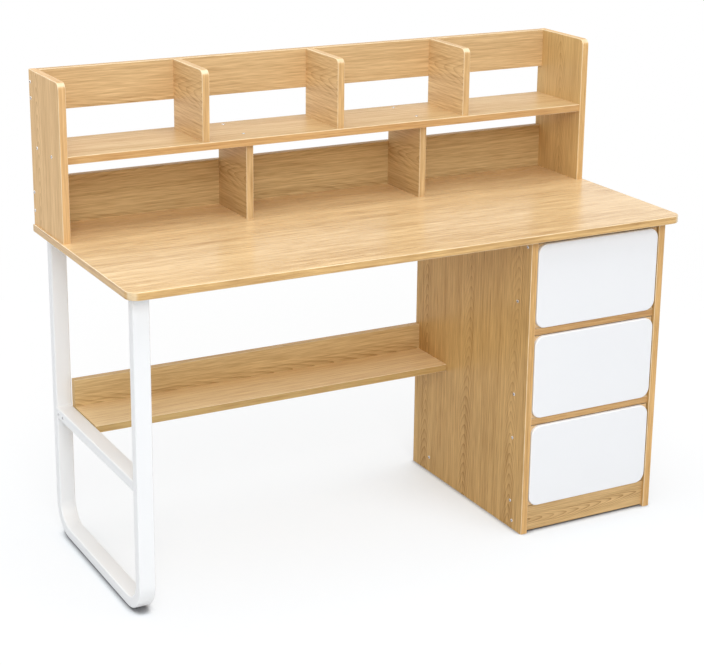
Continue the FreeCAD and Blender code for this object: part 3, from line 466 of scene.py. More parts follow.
def lay_foil(name, cut, solids, **values):
    """Makes a cut of foil for boards that lie one way, and lays it on them."""
    grain, broad = cut
    dress(make_oak(name, grain, broad, **values), *solids)
    print(name, "on", len(solids), "boards")


print("foil ready to lay")

# %% [markdown]
# ## Boards that lie flat or face the front
#
# A factory foils all boards of one kind from one roll, so they share a material. They still differ, because
# the pattern is read at each board's own place in the desk. The grain runs along X here. The top gets wide
# planks with few arches and more gloss, because it is the face that the foil is chosen for. Each kind has
# tones of its own, and these are painted light and shade: a board is made darker where it should look shaded
# and paler where it should look lit.

# %% Foil the level and the facing boards
ALONG_X, ALONG_Y, ALONG_Z = (1, 0, 0), (0, 1, 0), (0, 0, 1)
LEVEL = (ALONG_Y, ALONG_X, ALONG_X), ALONG_Z
FACING = (ALONG_Z, ALONG_X, ALONG_X), ALONG_Y
BACK_PLANKS = dict(plank=0.14, arch=0.06, arches=0.6, spread=0.26, streaks=0.6)

# The tones and bands below are painted light and shade as well as foil: the shelves, the rail over the hutch,
# the back boards and the plinth are darker, the lower shelf paler, and the bands of the top and the lower
# shelf darker.
lay_foil("oak_top", LEVEL, ["tabletop"], shift=(0.31, 0.13, 0), seed=1, plank=0.26, arch=0.11, ring=0.006,
         arches=0.42, streaks=0.78, pale=(0.93, 0.68, 0.37, 1), band=(0.87, 0.78, 0.60, 1), rough=0.2,
         shine=0.38)
lay_foil("oak_shelf", LEVEL,
         ["hutch_shelf", "pedestal_bottom", "drawer_rail_lower", "drawer_rail_upper",
          "pedestal_stretcher_front", "pedestal_stretcher_rear"],
         shift=(0.90, 0.05, 0), seed=4, plank=0.22, arch=0.09, arches=0.34, streaks=0.75,
         pale=(0.70, 0.505, 0.26, 1), band=(1.02, 0.89, 0.76, 1))
lay_foil("oak_upper", FACING, ["hutch_top_rail"], shift=(0.60, 0, 0.05), seed=11, plank=0.14, arch=0.07,
         ring=0.008, spread=0.26, pale=(0.81, 0.58, 0.31, 1), dark=(0.37, 0.21, 0.075, 1))
lay_foil("oak_low", LEVEL, ["lower_shelf"], shift=(0.10, 0.02, 0), seed=14, plank=0.20, arch=0.09,
         arches=0.4, streaks=0.8, pale=(0.99, 0.78, 0.47, 1), dark=(0.68, 0.45, 0.22, 1),
         band=(0.65, 0.57, 0.40, 1))
lay_foil("oak_rail", FACING, ["lower_back_board", "pedestal_rear_foot"], shift=(0.20, 0, 0.03), seed=7,
         ring=0.009, **BACK_PLANKS, pale=(0.835, 0.625, 0.322, 1), dark=(0.44, 0.255, 0.092, 1))
lay_foil("oak_back", FACING, ["hutch_back_board"], shift=(0.20, 0, 0.035), seed=9, ring=0.010,
         **BACK_PLANKS, pale=(0.737, 0.54, 0.272, 1), dark=(0.36, 0.21, 0.07, 1))
lay_foil("oak_plinth", FACING, ["pedestal_plinth"], shift=(0.55, 0, 0.01), seed=3, plank=0.09, arch=0.035,
         arches=0.8, pale=(0.76, 0.52, 0.25, 1), dark=(0.34, 0.18, 0.055, 1))

# %% [markdown]
# ## Boards that stand on end
#
# The sides of the hutch and of the pedestal have their grain upright, as a tree has. The dividers are
# low and deep, so theirs runs from front to back.

# %% Foil the sides and the dividers
UPRIGHT = (ALONG_Z, ALONG_Z, ALONG_Y), ALONG_X
SIDEWAYS = (ALONG_Y, ALONG_Z, ALONG_Y), ALONG_X
SIDE_PLANKS = dict(arch=0.03, ring=0.009, arches=0.42, spread=0.2)
DIVIDER_PLANKS = dict(plank=0.17, arch=0.045, ring=0.012, arches=0.6, spread=0.26, streaks=0.55)

# The tones and bands below are painted light and shade as well as foil: the hutch's right side, the
# pedestal's panels and the lower dividers are darker, and the bands of the right side and the pedestal paler.
lay_foil("oak_side", UPRIGHT, ["hutch_side_left"], shift=(0, 0.035, 0.4), seed=2, **SIDE_PLANKS,
         pale=(0.92, 0.61, 0.28, 1), dark=(0.50, 0.27, 0.095, 1), band=(0.94, 0.93, 0.98, 1))
lay_foil("oak_side_right", UPRIGHT, ["hutch_side_right"], shift=(0, 0.095, 0.2), seed=15, **SIDE_PLANKS,
         pale=(0.765, 0.54, 0.245, 1), dark=(0.41, 0.235, 0.08, 1), band=(1.08, 1.0, 0.97, 1))
lay_foil("oak_panel", UPRIGHT, ["pedestal_side_left", "pedestal_side_right", "pedestal_back"],
         shift=(0, 0.117, 0.1), seed=12, plank=0.20, arch=0.026, ring=0.009, spread=0.17, streaks=0.62,
         pale=(0.703, 0.453, 0.178, 1), dark=(0.323, 0.160, 0.041, 1), band=(1.12, 1.08, 1.14, 1))
lay_foil("oak_divider", SIDEWAYS, ["upper_divider_left", "upper_divider_middle", "upper_divider_right"],
         shift=(0, 0.3, 0.055), seed=5, **DIVIDER_PLANKS, pale=(0.90, 0.66, 0.355, 1))
lay_foil("oak_divider_low", SIDEWAYS, ["lower_divider_left", "lower_divider_right"],
         shift=(0, 0.1, 0.095), seed=16, **DIVIDER_PLANKS, pale=(0.74, 0.54, 0.275, 1),
         dark=(0.36, 0.20, 0.07, 1), band=(1.02, 0.98, 0.98, 1))

# %% [markdown]
# ## The drawer boxes
#
# Little light falls into a drawer, so the boxes get a calm print with weak arches. The edges of their front,
# back and bottom boards have no band and show raw board, painted darker still as the shade in the gap over
# each drawer front.

# %% Foil the drawer boxes
DRAWERS = ("top", "middle", "bottom")
BOX_PLANKS = dict(plank=0.15, arch=0.08, arches=0.4, streaks=0.4)


def in_each_drawer(*parts):
    return [f"drawer_{drawer}_{part}" for drawer in DRAWERS for part in parts]


lay_foil("oak_box", FACING, in_each_drawer("box_front", "back", "bottom"),
         shift=(0.1, 0, 0.01), seed=6, band=RAW_EDGE_AND_SHADE, **BOX_PLANKS)
lay_foil("oak_box_side", SIDEWAYS, in_each_drawer("side_left", "side_right"),
         shift=(0, 0.2, 0.02), seed=8, **BOX_PLANKS)

# %% [markdown]
# ## White fronts and white steel
#
# The drawer fronts are fibreboard under satin lacquer. The leg is steel under baked powder. Both are
# white, and what tells them apart is the surface: lacquer flows nearly flat, powder melts into a fine
# peel. So both use one group for the peel, at their own size and depth.

# %% A group for the peel, and the two whites
COAT_CLOUD_SCALE = 4.0
# The strength of the painted highlight on rounded white edges.
WHITE_EDGE_SHEEN = 0.9
PEEL_STRENGTH = 0.3


def make_peel():
    """A coat with a fine peel, and a cloud that sets how far the tone goes towards the shade."""
    tree, given, result = new_group(
        "peel",
        [("Size", FLOAT, 0.001), ("Tone", COLOUR, (1, 1, 1, 1)), ("Shade", COLOUR, (0.9, 0.9, 0.9, 1))],
        [("Colour", COLOUR), ("Height", FLOAT), ("Cloud", FLOAT)])
    place = tree.nodes.new("ShaderNodeTexCoord").outputs["Object"]
    grains = noise(tree, place, scale=calc(tree, "DIVIDE", 1.0, given["Size"]))
    clouds = noise(tree, place, scale=COAT_CLOUD_SCALE, detail=3.0)
    tree.links.new(blend(tree, clouds, given["Tone"], given["Shade"]), result["Colour"])
    tree.links.new(grains, result["Height"])
    tree.links.new(clouds, result["Cloud"])
    return tree


def make_white(name, size, tone, shade, rim, rough, depth):
    """A white coat. Size and depth are those of its peel, and rim is its colour on rounded edges, a painted
    highlight.
    """
    material, tree, shader = new_material(name)
    coat = use_group(tree, peel, size=size, tone=tone, shade=shade)
    edge_sheen = use_group(tree, edge_polish, wear=WHITE_EDGE_SHEEN)["Polish"]
    tree.links.new(blend(tree, edge_sheen, coat["Colour"], rim), shader.inputs["Base Color"])
    tree.links.new(ramp(tree, coat["Cloud"], *CLOUD_MIDDLE, *rough), shader.inputs["Roughness"])
    bump(tree, shader, coat["Height"], PEEL_STRENGTH, depth)
    return material


peel = make_peel()
white_lacquer = make_white(
    "white_lacquer", size=0.006, tone=(0.88, 0.89, 0.91, 1), shade=(0.86, 0.875, 0.90, 1),
    rim=(0.99, 0.99, 0.99, 1), rough=(0.28, 0.32), depth=0.00004)
white_powder = make_white(
    "white_powder", size=0.0025, tone=(0.91, 0.925, 0.94, 1), shade=(0.89, 0.905, 0.92, 1),
    rim=(0.93, 0.94, 0.95, 1), rough=(0.34, 0.44), depth=0.00008)
dress(white_lacquer, "drawer_top_front", "drawer_middle_front", "drawer_bottom_front")
dress(white_powder, "leg_sled", "leg_crossbar", "leg_mounting_plates")
print("whites ready")

# %% [markdown]
# ## Zinc
#
# Screws and slides are zinc plated: a cool grey metal, faintly cloudy where the plating is thicker, with fine
# lines from rolling or turning. Without them it would look like chrome. So one group makes the clouds and the
# lines, and each part gives it a tone and the way its lines run. The sockets of the screws get a near black
# zinc: painted shade, for the shade deep in a socket.

# %% A group for the plating, and the zincs
PLATING_SCALE = 60.0
SCRATCH_GLOSS = 0.07  # how much rougher or smoother the scratches make the metal
SCRATCH_RELIEF = 0.15, 0.00003
TURNED = (2200, 2200, 2200)
ROLLED = (900, 20, 900)  # stretched along Y, the way the strip went through the rollers


def make_plating():
    """Cloudy zinc with fine scratches. Lines gives how fine they are along each axis."""
    tree, given, result = new_group(
        "plating",
        [("Tone", COLOUR, (0.7, 0.7, 0.7, 1)), ("Shade", COLOUR, (0.6, 0.6, 0.6, 1)),
         ("Rough", FLOAT, 0.3), ("Lines", VECTOR, TURNED)],
        [("Colour", COLOUR), ("Roughness", FLOAT), ("Scratches", FLOAT)])
    place = tree.nodes.new("ShaderNodeTexCoord").outputs["Object"]
    clouds = noise(tree, place, scale=PLATING_SCALE, detail=3.0)
    scratches = noise(tree, vector_calc(tree, "MULTIPLY", place, given["Lines"]))
    smoothest = calc(tree, "SUBTRACT", given["Rough"], SCRATCH_GLOSS)
    roughest = calc(tree, "ADD", given["Rough"], SCRATCH_GLOSS)
    tree.links.new(blend(tree, clouds, given["Tone"], given["Shade"]), result["Colour"])
    tree.links.new(ramp(tree, scratches, *CLOUD_MIDDLE, smoothest, roughest), result["Roughness"])
    tree.links.new(scratches, result["Scratches"])
    return tree


def make_zinc(name, **values):
    """Plated steel. The values are those of the plating: tone, shade, rough and lines."""
    material, tree, shader = new_material(name)
    metal = use_group(tree, plating, **values)
    tree.links.new(metal["Colour"], shader.inputs["Base Color"])
    tree.links.new(metal["Roughness"], shader.inputs["Roughness"])
    bump(tree, shader, metal["Scratches"], *SCRATCH_RELIEF)
    shader.inputs["Metallic"].default_value = 1.0
    return material


plating = make_plating()
zinc_screw = make_zinc(
    "zinc_screw", tone=(0.76, 0.76, 0.77, 1), shade=(0.60, 0.60, 0.61, 1), rough=0.24, lines=TURNED)
# Painted shade: a near black zinc for the inside of each socket.
zinc_socket = make_zinc(
    "zinc_socket", tone=(0.15, 0.15, 0.16, 1), shade=(0.09, 0.09, 0.10, 1), rough=0.5, lines=TURNED)
zinc_slide = make_zinc(
    "zinc_slide", tone=(0.62, 0.63, 0.65, 1), shade=(0.50, 0.51, 0.53, 1), rough=0.34, lines=ROLLED)
dress(zinc_screw, "hutch_screws", "divider_screws", "pedestal_screws", "leg_screws", "under_top_screws")
for drawer in DRAWERS:
    dress(zinc_slide, f"{drawer}_slide_outer", f"{drawer}_slide_middle", f"{drawer}_slide_inner")
print("plating has", len(plating.nodes), "nodes")

# %% [markdown]
# ## Plastic
#
# The glides are moulded in a grey plastic, soft enough to spare the floor. It has no grain and little
# gloss, only a fine peel from its mould. A plain colour would do at this size, but the group for the
# peel is there already, so it is used once more, finer, and the plastic stays rougher than the paint.

# %% The plastic of the glides
GLIDE_ROUGH = (0.55, 0.65)
GLIDE_RELIEF = 0.2, 0.00005


def make_glide_plastic():
    material, tree, shader = new_material("glide_plastic")
    coat = use_group(tree, peel, size=0.0006, tone=(0.60, 0.60, 0.60, 1), shade=(0.52, 0.52, 0.53, 1))
    tree.links.new(coat["Colour"], shader.inputs["Base Color"])
    tree.links.new(ramp(tree, coat["Cloud"], *CLOUD_MIDDLE, *GLIDE_ROUGH), shader.inputs["Roughness"])
    bump(tree, shader, coat["Height"], *GLIDE_RELIEF)
    return material


glide_plastic = make_glide_plastic()
dress(glide_plastic, "leg_glides")
print(len(bpy.data.materials), "materials")

# %% [markdown]
# ## Modelling by hand, in code
#
# Each new piece starts as a primitive at its real size and place, and is shaped in edit mode as at the
# screen: extrude, resize, spin, bevel. An extrusion leaves its new end selected, so the next step goes
# on from there, with nothing to click. A finished piece keeps its place in its mesh, so its object goes
# back to the origin.

# %% Helpers for modelling
TOUCHING = 0.01 * MM  # places nearer than this count as one


def begin(name, add, **values):
    """Adds a primitive by itself and enters edit mode with all of it selected."""
    bpy.ops.object.select_all(action="DESELECT")
    add(**values)
    piece = bpy.context.object
    piece.name = name
    bpy.ops.object.transform_apply(location=True, rotation=True, scale=True)
    bpy.ops.object.mode_set(mode="EDIT")
    bpy.ops.mesh.select_all(action="SELECT")
    return piece


def extrude(move):
    bpy.ops.mesh.extrude_region_move(TRANSFORM_OT_translate={"value": move})


def resize(piece, scale):
    """Scales what is selected, about its own middle."""
    shape = bmesh.from_edit_mesh(piece.data)
    chosen = [corner.co for corner in shape.verts if corner.select]
    middle = sum(chosen, Vector()) / len(chosen)
    bpy.ops.transform.resize(value=scale, center_override=middle)


def end(piece, material, smooth=35):
    """Merges doubles, turns the faces outwards, leaves edit mode and shades the piece."""
    bpy.ops.mesh.select_all(action="SELECT")
    bpy.ops.mesh.remove_doubles(threshold=TOUCHING)
    bpy.ops.mesh.normals_make_consistent(inside=False)
    bpy.ops.object.mode_set(mode="OBJECT")
    piece.data.materials.clear()
    piece.data.materials.append(material)
    bpy.ops.object.shade_smooth_by_angle(angle=math.radians(smooth))
    return piece


def close_ends():
    """Fills every open loop."""
    bpy.ops.mesh.select_all(action="SELECT")
    bpy.ops.mesh.fill_holes(sides=0)


print("helpers for edit mode ready")

# %% [markdown]
# ## Copying and joining
#
# Screws, balls and beads repeat. Each is modelled once, copied with a mesh of its own, moved to its
# place in that mesh, and joined with the others to one piece. A bevel beside a large flat face would
# bend the light over the face, so a Weighted Normal modifier lets the large faces lead.

# %% Helpers for whole pieces


def copy_of(piece, name, matrix):
    """A copy with its own mesh, moved to its place."""
    twin = piece.copy()
    twin.data = piece.data.copy()
    twin.name = name
    twin.data.transform(matrix)
    bpy.context.scene.collection.objects.link(twin)
    return twin


def join(pieces, name):
    """Makes several pieces one."""
    bpy.ops.object.select_all(action="DESELECT")
    for piece in pieces:
        piece.select_set(True)
    bpy.context.view_layer.objects.active = pieces[0]
    bpy.ops.object.join()
    pieces[0].name = name
    return pieces[0]


def discard(piece):
    bpy.data.objects.remove(piece)


def face_counts(*pieces):
    return [len(piece.data.polygons) for piece in pieces]


def finish_with(piece, kind, **settings):
    """Gives a piece a modifier with the given settings, and applies it."""
    bpy.ops.object.select_all(action="DESELECT")
    bpy.context.view_layer.objects.active = piece
    piece.select_set(True)
    bpy.ops.object.modifier_add(type=kind)
    modifier = piece.modifiers[-1]
    for setting, value in settings.items():
        setattr(modifier, setting, value)
    bpy.ops.object.modifier_apply(modifier=modifier.name)


def flatten_shading(piece):
    """Lets the large faces lead the shading, so that a flat face stays flat beside a round one."""
    finish_with(piece, "WEIGHTED_NORMAL", keep_sharp=True)


print("helpers for whole pieces ready")

# %% [markdown]
# ## The sled leg
#
# The leg is one length of rectangular tube, bent twice round a former. The solid has the tube's corners
# cut flat. Here the same path is followed by hand: a flat rectangle with rounded corners is drawn down
# the front post, spun round the first bend, drawn along the floor, spun up, and drawn up the rear post.
# A curve with a bevel would do it too, but it would round the tube's flat faces in the bends.

# %% Bend the tube
TUBE_CORNER = 3 * MM
CORNER_STEPS = 5
BEND_OUTSIDE = 75 * MM
BEND_STEPS = 16
QUARTER_TURN = math.pi / 2
(LEG_LEFT, LEG_FRONT, LEG_LOW), (LEG_RIGHT, LEG_BACK, LEG_TOP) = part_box("leg_sled")
TUBE_WIDTH = LEG_RIGHT - LEG_LEFT
TUBE_DEPTH = 25 * MM
LEG_MIDDLE = (LEG_LEFT + LEG_RIGHT) / 2


def tube_section(name, place, facing_y=False):
    """An open loop: a rectangle with rounded corners, flat or facing the front."""
    piece = begin(name, bpy.ops.mesh.primitive_plane_add, size=1)
    bpy.ops.transform.resize(value=(TUBE_WIDTH, TUBE_DEPTH, 1), center_override=(0, 0, 0))
    bpy.ops.mesh.bevel(offset=TUBE_CORNER, segments=CORNER_STEPS, affect="VERTICES")
    bpy.ops.mesh.delete(type="ONLY_FACE")
    bpy.ops.mesh.select_all(action="SELECT")
    if facing_y:
        bpy.ops.transform.rotate(value=QUARTER_TURN, orient_axis="X", center_override=(0, 0, 0))
    bpy.ops.transform.translate(value=place)
    return piece


def make_sled():
    """Down the front post, round the bend, back along the floor, round the other bend and up."""
    front = LEG_FRONT + TUBE_DEPTH / 2
    piece = tube_section("leg_sled_bent", (LEG_MIDDLE, front, LEG_TOP))
    turn = LEG_LOW + BEND_OUTSIDE
    extrude((0, 0, turn - LEG_TOP))
    centre = (LEG_MIDDLE, LEG_FRONT + BEND_OUTSIDE, turn)
    bpy.ops.mesh.spin(steps=BEND_STEPS, angle=QUARTER_TURN, center=centre, axis=(-1, 0, 0))
    extrude((0, LEG_BACK - LEG_FRONT - 2 * BEND_OUTSIDE, 0))
    centre = (LEG_MIDDLE, LEG_BACK - BEND_OUTSIDE, turn)
    bpy.ops.mesh.spin(steps=BEND_STEPS, angle=QUARTER_TURN, center=centre, axis=(-1, 0, 0))
    extrude((0, 0, LEG_TOP - turn))
    close_ends()
    end(piece, white_powder)
    flatten_shading(piece)
    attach(piece, "desk")
    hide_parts("leg_sled")
    return piece


sled = make_sled()
print("sled", len(sled.data.polygons), "faces, low at", round(min(v.co.z for v in sled.data.vertices), 4))

# %% [markdown]
# ## The crossbar
#
# The crossbar is the same tube, cut square and set between the posts. A cube with bevelled edges could
# stand for it, but its corners would have to be kept like the leg's. So it starts from the same section,
# which is turned to face the front and drawn back in one step.

# %% Set the crossbar


def make_crossbar():
    (_, start, low), (_, stop, high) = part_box("leg_crossbar")
    piece = tube_section("leg_crossbar_tube", (LEG_MIDDLE, start, (low + high) / 2), facing_y=True)
    extrude((0, stop - start, 0))
    close_ends()
    end(piece, white_powder)
    flatten_shading(piece)
    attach(piece, "desk")
    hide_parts("leg_crossbar")
    return piece


crossbar = make_crossbar()
print("crossbar", len(crossbar.data.polygons), "faces")

# %% [markdown]
# ## The welds
#
# A weld shows as a small rippled bead in the corner, softened by the powder over it. A smooth rod would
# look like a wire. So the bead is drawn out a step at a time, wider and narrower in turn, which is how
# a welder lays it. It is modelled once and copied to every corner.

# %% Lay the welds
BEAD_RADIUS = 1.9 * MM
BEAD_STEP = 1.6 * MM
BEAD_SIDES = 10
BEAD_MARGIN = 3 * MM
BEAD_TAPER = 0.5  # its ends, as a share of its full width
BEAD_RIPPLE = 0.84  # its narrow rings, as a share of its wide ones


def make_bead(length):
    """A rippled bead along X from the origin."""
    piece = begin("bead", bpy.ops.mesh.primitive_circle_add, vertices=BEAD_SIDES, radius=BEAD_RADIUS,
                  rotation=(0, QUARTER_TURN, 0))
    resize(piece, (1, BEAD_TAPER, BEAD_TAPER))
    steps = round(length / BEAD_STEP)
    ripples = [BEAD_RIPPLE if step % 2 else 1 / BEAD_RIPPLE for step in range(1, steps - 1)]
    for grow in (1 / BEAD_TAPER, *ripples, BEAD_TAPER):
        extrude((length / steps, 0, 0))
        resize(piece, (1, grow, grow))
    close_ends()
    return end(piece, white_powder, smooth=80)


def make_welds():
    """Beads over and under both ends of the crossbar, and across both posts under their plates."""
    (_, start, low), (_, stop, high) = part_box("leg_crossbar")
    bead = make_bead(TUBE_WIDTH - 2 * BEAD_MARGIN)
    left = LEG_LEFT + BEAD_MARGIN
    posts = (LEG_FRONT, LEG_FRONT + TUBE_DEPTH, LEG_BACK - TUBE_DEPTH, LEG_BACK)
    places = [(left, y, z) for y in (start, stop) for z in (low, high)]
    places += [(left, y, LEG_TOP) for y in posts]
    beads = [copy_of(bead, f"bead_{n}", Matrix.Translation(place)) for n, place in enumerate(places)]
    discard(bead)
    welds = join(beads, "leg_welds")
    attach(welds, "desk")
    return welds


welds = make_welds()
print("welds", len(welds.data.polygons), "faces")

# %% [markdown]
# ## Picking edges and faces
#
# Some steps need an edge or a face that isn't the last one made. At the screen one clicks it. In code
# it could be called by its number, but the numbers change with every cut. So a test on its place picks
# it, which still works when a size changes.

# %% A helper that picks by place


def pick(piece, kind, test):
    """Selects only the edges or faces whose corners all pass a test."""
    bpy.ops.mesh.select_mode(type={"edges": "EDGE", "faces": "FACE"}[kind])
    bpy.ops.mesh.select_all(action="DESELECT")
    shape = bmesh.from_edit_mesh(piece.data)
    for part in getattr(shape, kind):
        part.select_set(all(test(corner.co) for corner in part.verts))
    bmesh.update_edit_mesh(piece.data)


print("picking ready")

# %% [markdown]
# ## Screws
#
# The boards are pulled together by screws with a low button head and a hexagonal socket. A dome could
# be cut from a ball, but a turned head has a rim and a flat crown. So a circle is drawn up and narrowed
# a step at a time, and the socket is drawn down inside it, with a small chamfer round its mouth.

# %% Model one screw head
HEAD_SIDES = 32
HEAD_RADIUS = 4 * MM
HEAD_PROFILE = ((0.35, 1.0), (0.35, 0.965), (0.3, 0.92), (0.25, 0.86), (0.15, 0.80))  # mm up, and scale
HEAD_RISE = 1.4 * MM
SOCKET_RADIUS = 2.0 * MM
SOCKET_DEPTH = 1.1 * MM
CHAMFER_SCALE = 1.12
CHAMFER_DEPTH = 0.2 * MM


def make_head():
    """A rim, a domed face, a chamfered socket and its floor."""
    piece = begin("screw_head", bpy.ops.mesh.primitive_circle_add, vertices=HEAD_SIDES, radius=HEAD_RADIUS)
    for rise, scale in HEAD_PROFILE:
        extrude((0, 0, rise * MM))
        resize(piece, (scale, scale, 1))
    mouth = SOCKET_RADIUS * CHAMFER_SCALE
    bpy.ops.mesh.primitive_circle_add(vertices=6, radius=mouth, location=(0, 0, HEAD_RISE))
    pick(piece, "edges", lambda place: abs(place.z - HEAD_RISE) < TOUCHING)
    bpy.ops.mesh.bridge_edge_loops()
    pick(piece, "edges", lambda place: abs(place.z - HEAD_RISE) < TOUCHING
         and place.xy.length < mouth + TOUCHING)
    extrude((0, 0, -CHAMFER_DEPTH))
    resize(piece, (1 / CHAMFER_SCALE, 1 / CHAMFER_SCALE, 1))
    extrude((0, 0, CHAMFER_DEPTH - SOCKET_DEPTH))
    close_ends()
    end(piece, zinc_screw, smooth=30)
    # The faces inside the socket take the near black zinc, painted shade for the socket's hollow.
    piece.data.materials.append(zinc_socket)
    for face in piece.data.polygons:
        across, height = face.center.xy.length, face.center.z
        in_socket = across < SOCKET_RADIUS and TOUCHING < height < HEAD_RISE - CHAMFER_DEPTH
        face.material_index = int(in_socket)
    return piece


screw_head = make_head()
print("a head of", len(screw_head.data.polygons), "faces")

# %% [markdown]
# ## Where the screws are
#
# The solids carry a plain head where each screw goes. Their places could be typed in, but they would be
# wrong as soon as a board moved. So they are read from the solids. The mesh of a solid is one heap of
# triangles, so a copy is walked from corner to corner to tell the heads apart.

# %% Find the plain heads


def head_places(node):
    """The middle of each plain head of a solid, and the size of its box."""
    shape = bmesh.new()
    shape.from_mesh(nodes[node].data)
    bmesh.ops.remove_doubles(shape, verts=shape.verts, dist=TOUCHING)
    left, places = set(shape.verts), []
    while left:
        island, edge = set(), {left.pop()}
        while edge:
            island |= edge
            edge = {link.other_vert(corner) for corner in edge for link in corner.link_edges} - island
        left -= island
        low = Vector(min(corner.co[axis] for corner in island) for axis in range(3))
        high = Vector(max(corner.co[axis] for corner in island) for axis in range(3))
        places.append(((low + high) / 2, high - low))
    shape.free()
    return sorted(places, key=lambda place: tuple(place[0]))


print(len(head_places("hutch_screws")), "plain heads on the hutch")

# %% [markdown]
# ## A head for every screw
#
# A copy of the modelled head goes on each plain one, facing the way its board faces. An Array modifier
# would set them all alike, but real sockets stop at any angle. So each head is turned further than the
# last.

# %% Place the screws
HEAD_TURN = 0.35


def turn_to(way):
    """The turn of a head whose face looks along a way."""
    return way.to_track_quat("Z", "Y").to_matrix().to_4x4()


def make_screws(node, facing_way):
    """Copies of the head for one solid. facing_way gives each head's direction from its place."""
    heads = []
    for number, (middle, size) in enumerate(head_places(node)):
        way = Vector(facing_way(middle, size))
        foot = middle - way * HEAD_RISE / 2
        turn = turn_to(way) @ Matrix.Rotation(HEAD_TURN * number, 4, "Z")
        heads.append(copy_of(screw_head, f"{node}_{number}", Matrix.Translation(foot) @ turn))
    piece = join(heads, f"{node}_detailed")
    flatten_shading(piece)
    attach(piece, "desk")
    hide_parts(node)
    return len(heads)


def outwards_from(middle_x):
    """Heads to the left of a place look left, and those to its right look right."""
    return lambda middle, size: (math.copysign(1, middle.x - middle_x), 0, 0)


pedestal_low, pedestal_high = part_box("pedestal_screws")
count = make_screws("hutch_screws", outwards_from(0))
count += make_screws("pedestal_screws", outwards_from((pedestal_low.x + pedestal_high.x) / 2))
count += make_screws("divider_screws", lambda middle, size: ALONG_Z)
count += make_screws("under_top_screws", lambda middle, size: (0, 0, -1))
count += make_screws("leg_screws", lambda middle, size: (-1, 0, 0) if size.x < size.y else ALONG_Y)
print(count, "screw heads")

# %% [markdown]
# ## Drawer slides
#
# Each drawer runs on a pair of ball-bearing slides. A slide has three rolled members that nest in one
# another: one on the side board, one on the drawer, and one between them that carries the ball cages.
# A member is rolled from strip, so its corners are round and its lips curl in over the balls. A curve
# with a profile would give the same channel, but its ends would be hard to close. So the web is a thin
# cube, whose two edges are spun round the bends and drawn out, as rollers would fold them.

# %% Roll the members
SLIDE_STEEL = 1.2 * MM
BEND_RADIUS = 2.2 * MM
CURL_RADIUS = 1.3 * MM
FOLD_STEPS = 5
CURL_STEPS = 4
CURL_TURN = math.radians(80)
# Each member's web and lips, off the side board, and its height.
OUTER = (0, 9.5 * MM, 42 * MM)
MIDDLE = (3.5 * MM, 10.5 * MM, 34 * MM)
INNER = (13 * MM, 6.5 * MM, 26 * MM)
(SLIDE_LEFT, SLIDE_FRONT, _), (SLIDE_RIGHT, SLIDE_REAR, _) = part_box("top_slide_outer")
SLIDE_LENGTH = SLIDE_REAR - SLIDE_FRONT


def fold(piece, way, up, back, lips, half):
    """Folds one edge of the web over and curls its lip."""
    bend_z = up * (half - BEND_RADIUS)
    turn = (0, -up * way, 0)
    pick(piece, "faces", lambda place: abs(place.z - bend_z) < TOUCHING)
    bend_x = back + way * BEND_RADIUS
    bpy.ops.mesh.spin(steps=FOLD_STEPS, angle=QUARTER_TURN, center=(bend_x, 0, bend_z), axis=turn)
    pick(piece, "faces", lambda place: abs(place.x - bend_x) < TOUCHING
         and place.z * up > half - SLIDE_STEEL - TOUCHING)
    extrude((lips - way * CURL_RADIUS - bend_x, 0, 0))
    centre = (lips - way * CURL_RADIUS, 0, up * (half - CURL_RADIUS))
    bpy.ops.mesh.spin(steps=CURL_STEPS, angle=CURL_TURN, center=centre, axis=turn)


def roll_member(name, web, lips, height):
    """A channel with its web and its lips at these places off the side board, and its middle at z 0."""
    back, lips = SLIDE_LEFT + web, SLIDE_LEFT + lips
    way = math.copysign(1, lips - back)
    half = height / 2
    middle = (back + way * SLIDE_STEEL / 2, SLIDE_FRONT + SLIDE_LENGTH / 2, 0)
    piece = begin(name, bpy.ops.mesh.primitive_cube_add, size=1, location=middle,
                  scale=(SLIDE_STEEL, SLIDE_LENGTH, height - 2 * BEND_RADIUS))
    for up in (1, -1):
        fold(piece, way, up, back, lips, half)
    return end(piece, zinc_slide, smooth=40)


outer_member = roll_member("outer_member", *OUTER)
middle_member = roll_member("middle_member", *MIDDLE)
inner_member = roll_member("inner_member", *INNER)
print("members of", face_counts(outer_member, middle_member, inner_member), "faces")

# %% [markdown]
# ## Holes for the fitter
#
# The outer and the inner member have round holes and slots in turn. The slots let the fitter shift a
# drawer before the last screws go in. A Boolean modifier cuts them all at once, and leaves the rest of
# the web flat.

# %% Punch the holes
HOLE_RADIUS = 2.5 * MM
HOLE_SIDES = 20
SLOT_STRETCH = 1.9
HOLES = [along * MM for along in (28, 60, 124, 188, 252, 316, 372)]


def in_web(member, depth):
    """The place at a depth into a member's web, counted from its back."""
    web, lips, _ = member
    return SLIDE_LEFT + web + math.copysign(depth, lips - web)


def cut_holes(piece, member):
    """Cuts a hole or a slot through the web at each place along the slide."""
    web = in_web(member, SLIDE_STEEL / 2)
    cutters = []
    for number, along in enumerate(HOLES):
        stretch = SLOT_STRETCH if number % 2 else 1.0
        middle = (web, SLIDE_FRONT + along, 0)
        cutter = begin("cutter", bpy.ops.mesh.primitive_cylinder_add, vertices=HOLE_SIDES, radius=HOLE_RADIUS,
                       depth=4 * SLIDE_STEEL, location=middle, rotation=(0, QUARTER_TURN, 0))
        bpy.ops.transform.resize(value=(1, stretch, 1), center_override=middle)
        cutters.append(end(cutter, zinc_slide))
    cutter = join(cutters, "cutter")
    finish_with(piece, "BOOLEAN", object=cutter)
    discard(cutter)


cut_holes(outer_member, OUTER)
cut_holes(inner_member, INNER)
print("punched members of", face_counts(outer_member, inner_member), "faces")

